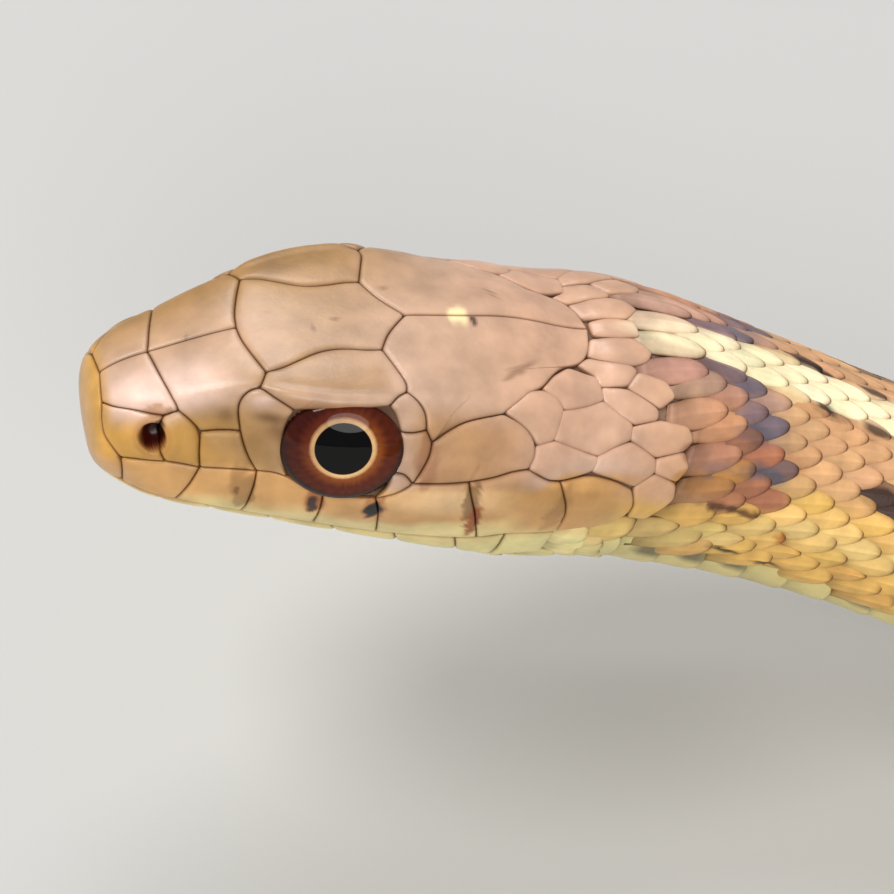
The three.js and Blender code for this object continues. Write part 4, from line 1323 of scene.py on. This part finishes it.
def eye_axes(rim, side):
    """The middle of the eye's opening, and its directions along, up and out."""
    centre = rim.mean(0)
    _, _, axes = np.linalg.svd(rim - centre)
    out = axes[2] * np.sign(axes[2][1] * side)
    long = axes[0] * np.sign(axes[0][0])
    tall = np.cross(out, long)
    return centre, long, tall * np.sign(tall[2]), out


def make_eye(side, name, material, node):
    rim = outline_of(EYE_SEAMS)
    rim = surface(rim[:, 0], rim[:, 1] * -side, -0.1)
    centre, long, tall, out = eye_axes(rim, side)
    a, b = (np.abs((rim - centre) @ axis).max() + EYE_MARGIN for axis in (long, tall))
    phi = np.linspace(0, 2 * np.pi, EYE_TURNS, endpoint=False)[None]
    c, d = np.cos(phi), np.sin(phi)
    # From the raised middle of the pupil to the eye's oval outline.
    squared = (c / a) ** 2 + (d / b) ** 2
    half_way = PUPIL_RAISED * d / b**2
    reach = (-half_way + np.sqrt(half_way**2 - squared * ((PUPIL_RAISED / b) ** 2 - 1))) / squared
    shares = np.linspace(0, 1, 14)[1:, None]
    outer = PUPIL_RINGS[-1] + (reach * 0.9995 - PUPIL_RINGS[-1]) * (1 - (1 - shares) ** 2)
    r = np.concatenate([np.array(PUPIL_RINGS)[:, None] + 0 * phi, outer])
    x, y = r * c, r * d + PUPIL_RAISED
    z = EYE_BULGE * np.sqrt(np.clip(1 - (x / a) ** 2 - (y / b) ** 2, 0, 1))
    behind = np.linspace(0, np.pi / 2, 8)[1:-1, None]
    x = np.concatenate([x, x[-1:] * np.cos(behind)])
    y = np.concatenate([y, y[-1:] * np.cos(behind)])
    z = np.concatenate([z, -EYE_DEPTH * np.sin(behind) + 0 * phi])
    r = np.concatenate([r, np.full((len(behind), EYE_TURNS), BEHIND_R)])
    points = centre + sum(part[..., None] * axis for part, axis in zip((x, y, z), (long, tall, out)))
    top = tall * PUPIL_RAISED + out * EYE_BULGE * np.sqrt(1 - (PUPIL_RAISED / b) ** 2)
    points = np.concatenate([points.reshape(-1, 3), [centre + top, centre - out * EYE_DEPTH]])
    faces = capped_faces(*r.shape)
    if np.dot(np.cross(long, tall), out) > 0:
        faces = faces[:, [1, 0, 3, 2]]
    turn = phi + 0 * r
    colour = np.concatenate([eye_tone(r, turn).reshape(-1, 3), [PUPIL_TONE, BEHIND_TONE]])
    rings = len(r)
    depth = np.append(np.repeat(np.arange(1, rings + 1), EYE_TURNS), [0, rings + 1]) / (rings + 1)
    turn = np.append(turn.ravel(), [0, 0])
    uv = 0.5 + 0.49 * np.stack([depth * np.cos(turn), depth * np.sin(turn)], -1)
    sheet = Sheet()
    sheet.add(points, faces, colour, uv)
    return sheet.build(name, material, [node])


class Finish:
    """A material, its nodes added and linked one by one. Sockets are named with _ for each space."""

    def __init__(self, name, **values):
        self.material = bpy.data.materials.new(name)
        self.material.use_nodes = True
        self.shader = self.material.node_tree.nodes["Principled BSDF"]
        self.set(self.shader, **values)

    def set(self, node, **values):
        for key, value in values.items():
            node.inputs[key.replace("_", " ")].default_value = value

    def node(self, kind, **values):
        node = self.material.node_tree.nodes.new("ShaderNode" + kind)
        self.set(node, **values)
        return node

    def link(self, source, output, target, socket):
        self.material.node_tree.links.new(source.outputs[output], target.inputs[socket])

    def noises(self, *settings):
        """Noises over the object's own coordinates, one for each scale and detail."""
        place = self.node("TexCoord")
        textures = [self.node("TexNoise", Scale=scale, Detail=detail) for scale, detail in settings]
        for texture in textures:
            self.link(place, "Object", texture, "Vector")
        return textures

    def tint(self, texture, **ranges):
        """Colours the surface as it is painted, made lighter and darker by a noise."""
        colours = self.node("Attribute")
        colours.attribute_name = "Tone"
        shade = self.node("MapRange", **ranges)
        product = self.node("Mix")
        product.data_type = "RGBA"
        product.blend_type = "MULTIPLY"
        self.set(product, Factor=1)
        self.link(texture, "Fac", shade, "Value")
        self.link(colours, "Color", product, "A")
        self.link(shade, "Result", product, "B")
        self.link(product, "Result", self.shader, "Base Color")


def scaled_skin(name, roughness, grain, mottle, bump, **values):
    """A skin with mottling in its colour and a fine grain in its gloss and relief."""
    finish = Finish(name, Roughness=roughness, **values)
    fine, soft = finish.noises((grain, 5), (mottle, 3))
    finish.tint(soft, From_Min=0.3, From_Max=0.7, To_Min=0.84, To_Max=1.14)
    gloss = finish.node("MapRange", To_Min=roughness - 0.08, To_Max=roughness + 0.1)
    finish.link(fine, "Fac", gloss, "Value")
    finish.link(gloss, "Result", finish.shader, "Roughness")
    height = finish.node("Bump", Strength=0.6, Distance=bump)
    finish.link(fine, "Fac", height, "Height")
    finish.link(height, "Normal", finish.shader, "Normal")
    return finish.material


def eye_material():
    """An iris with fine fibres under a clear surface."""
    finish = Finish(
        "clear_eye", Roughness=0.3, Specular_IOR_Level=0.0,
        Coat_Weight=0.75, Coat_Roughness=0.02, Coat_IOR=1.34,
    )
    (fibres,) = finish.noises((2600, 2))
    finish.tint(fibres, To_Min=0.75, To_Max=1.25)
    return finish.material


def floor_material():
    finish = Finish("pale_floor", Roughness=0.75)
    noise = finish.node("TexNoise", Scale=60)
    ramp = finish.node("ValToRGB")
    ramp.color_ramp.elements[0].color = (0.5, 0.495, 0.48, 1)
    ramp.color_ramp.elements[1].color = (0.55, 0.545, 0.53, 1)
    finish.link(noise, "Fac", ramp, "Fac")
    finish.link(ramp, "Color", finish.shader, "Base Color")
    return finish.material


FLOOR_REACH = 3.0


def make_floor():
    mesh = bpy.data.meshes.new("floor")
    corners = [(x * FLOOR_REACH, y * FLOOR_REACH, 0) for x, y in ((-1, -1), (1, -1), (1, 1), (-1, 1))]
    mesh.from_pydata(corners, [], [(0, 1, 2, 3)])
    mesh.materials.append(floor_material())
    floor = bpy.data.objects.new("floor", mesh)
    bpy.context.scene.collection.objects.link(floor)


# Lights: their place from the head and their size in metres, power and colour.
LIGHTS = {
    "key": ((-0.45, 0.05, 0.8), 0.4, 5.5, (1.0, 0.98, 0.95)),
    "sky": ((0.1, 0.55, 0.8), 0.45, 4.0, (0.97, 0.96, 1.0)),
    "fill": ((-0.1, -0.9, 0.55), 0.7, 5.5, (1.0, 0.99, 0.97)),
}
LIT_PLACE = Vector((0.012, 0, 0.024))
WORLD_COLOUR = (0.9, 0.92, 0.95, 1)
WORLD_STRENGTH = 0.3


def make_lights():
    head = OFFSET * MM + LIT_PLACE
    for name, (place, size, power, colour) in LIGHTS.items():
        data = bpy.data.lights.new(name, "AREA")
        data.shape = "DISK"
        data.size = size
        data.energy = power
        data.color = colour
        light = bpy.data.objects.new(name, data)
        light.location = head + Vector(place)
        light.rotation_euler = (-Vector(place)).to_track_quat("-Z", "Y").to_euler()
        bpy.context.scene.collection.objects.link(light)
    world = bpy.data.worlds.new("studio")
    world.use_nodes = True
    background = world.node_tree.nodes["Background"]
    background.inputs["Color"].default_value = WORLD_COLOUR
    background.inputs["Strength"].default_value = WORLD_STRENGTH
    bpy.context.scene.world = world


# The camera of the photograph: its place from a point over the floor at the tip of the snout, and its axes.
CAMERA_PLACE = (-6.234, -49.647, 54.335)
CAMERA_RIGHT = (0.95226, -0.2709, 0.14076)
CAMERA_DOWN = (-0.11875, -0.75345, -0.64669)
CAMERA_FORWARD = (0.28125, 0.5991, -0.74965)
CAMERA_ORIGIN_HEIGHT = 26.0
FOCAL_LENGTH = 69.49
SENSOR = 36.0
NEAREST_SEEN = 0.005


def make_camera():
    data = bpy.data.cameras.new("camera")
    data.sensor_width = SENSOR
    data.lens = FOCAL_LENGTH
    data.clip_start = NEAREST_SEEN
    camera = bpy.data.objects.new("camera", data)
    axes = [Vector(CAMERA_RIGHT), -Vector(CAMERA_DOWN), -Vector(CAMERA_FORWARD)]
    place = (np.array(CAMERA_PLACE) + OFFSET + [0, 0, CAMERA_ORIGIN_HEIGHT]) * MM
    turned = Matrix([axis.normalized() for axis in axes]).transposed().to_4x4()
    camera.matrix_world = Matrix.Translation(Vector(place)) @ turned
    bpy.context.scene.collection.objects.link(camera)
    bpy.context.scene.camera = camera


# Each skin's roughness, the scales of its grain and its mottling, and the height of its grain in metres.
plate_skin = scaled_skin(
    "head_plates", 0.36, 5200, 700, 0.00002, Specular_IOR_Level=0.4, Coat_Weight=0.1, Coat_Roughness=0.2
)
scale_skin = scaled_skin("keeled_scales", 0.45, 6000, 900, 0.00003, Specular_IOR_Level=0.35)
under_skin = scaled_skin("skin_between", 0.6, 7000, 900, 0.00003)
belly_skin = scaled_skin("belly_scutes", 0.4, 4500, 500, 0.00001, Coat_Weight=0.2, Coat_Roughness=0.3)
clear = eye_material()
make_skin(under_skin)
make_head_plates(plate_skin)
make_jaw_plates(plate_skin)
make_throat(plate_skin)
make_eye(-1, "eye_of_left", clear, "eye_left")
make_eye(1, "eye_of_right", clear, "eye_right")
make_body_scales(scale_skin)
make_belly(belly_skin)
make_floor()
make_lights()
make_camera()
bpy.context.scene.view_settings.view_transform = "Standard"
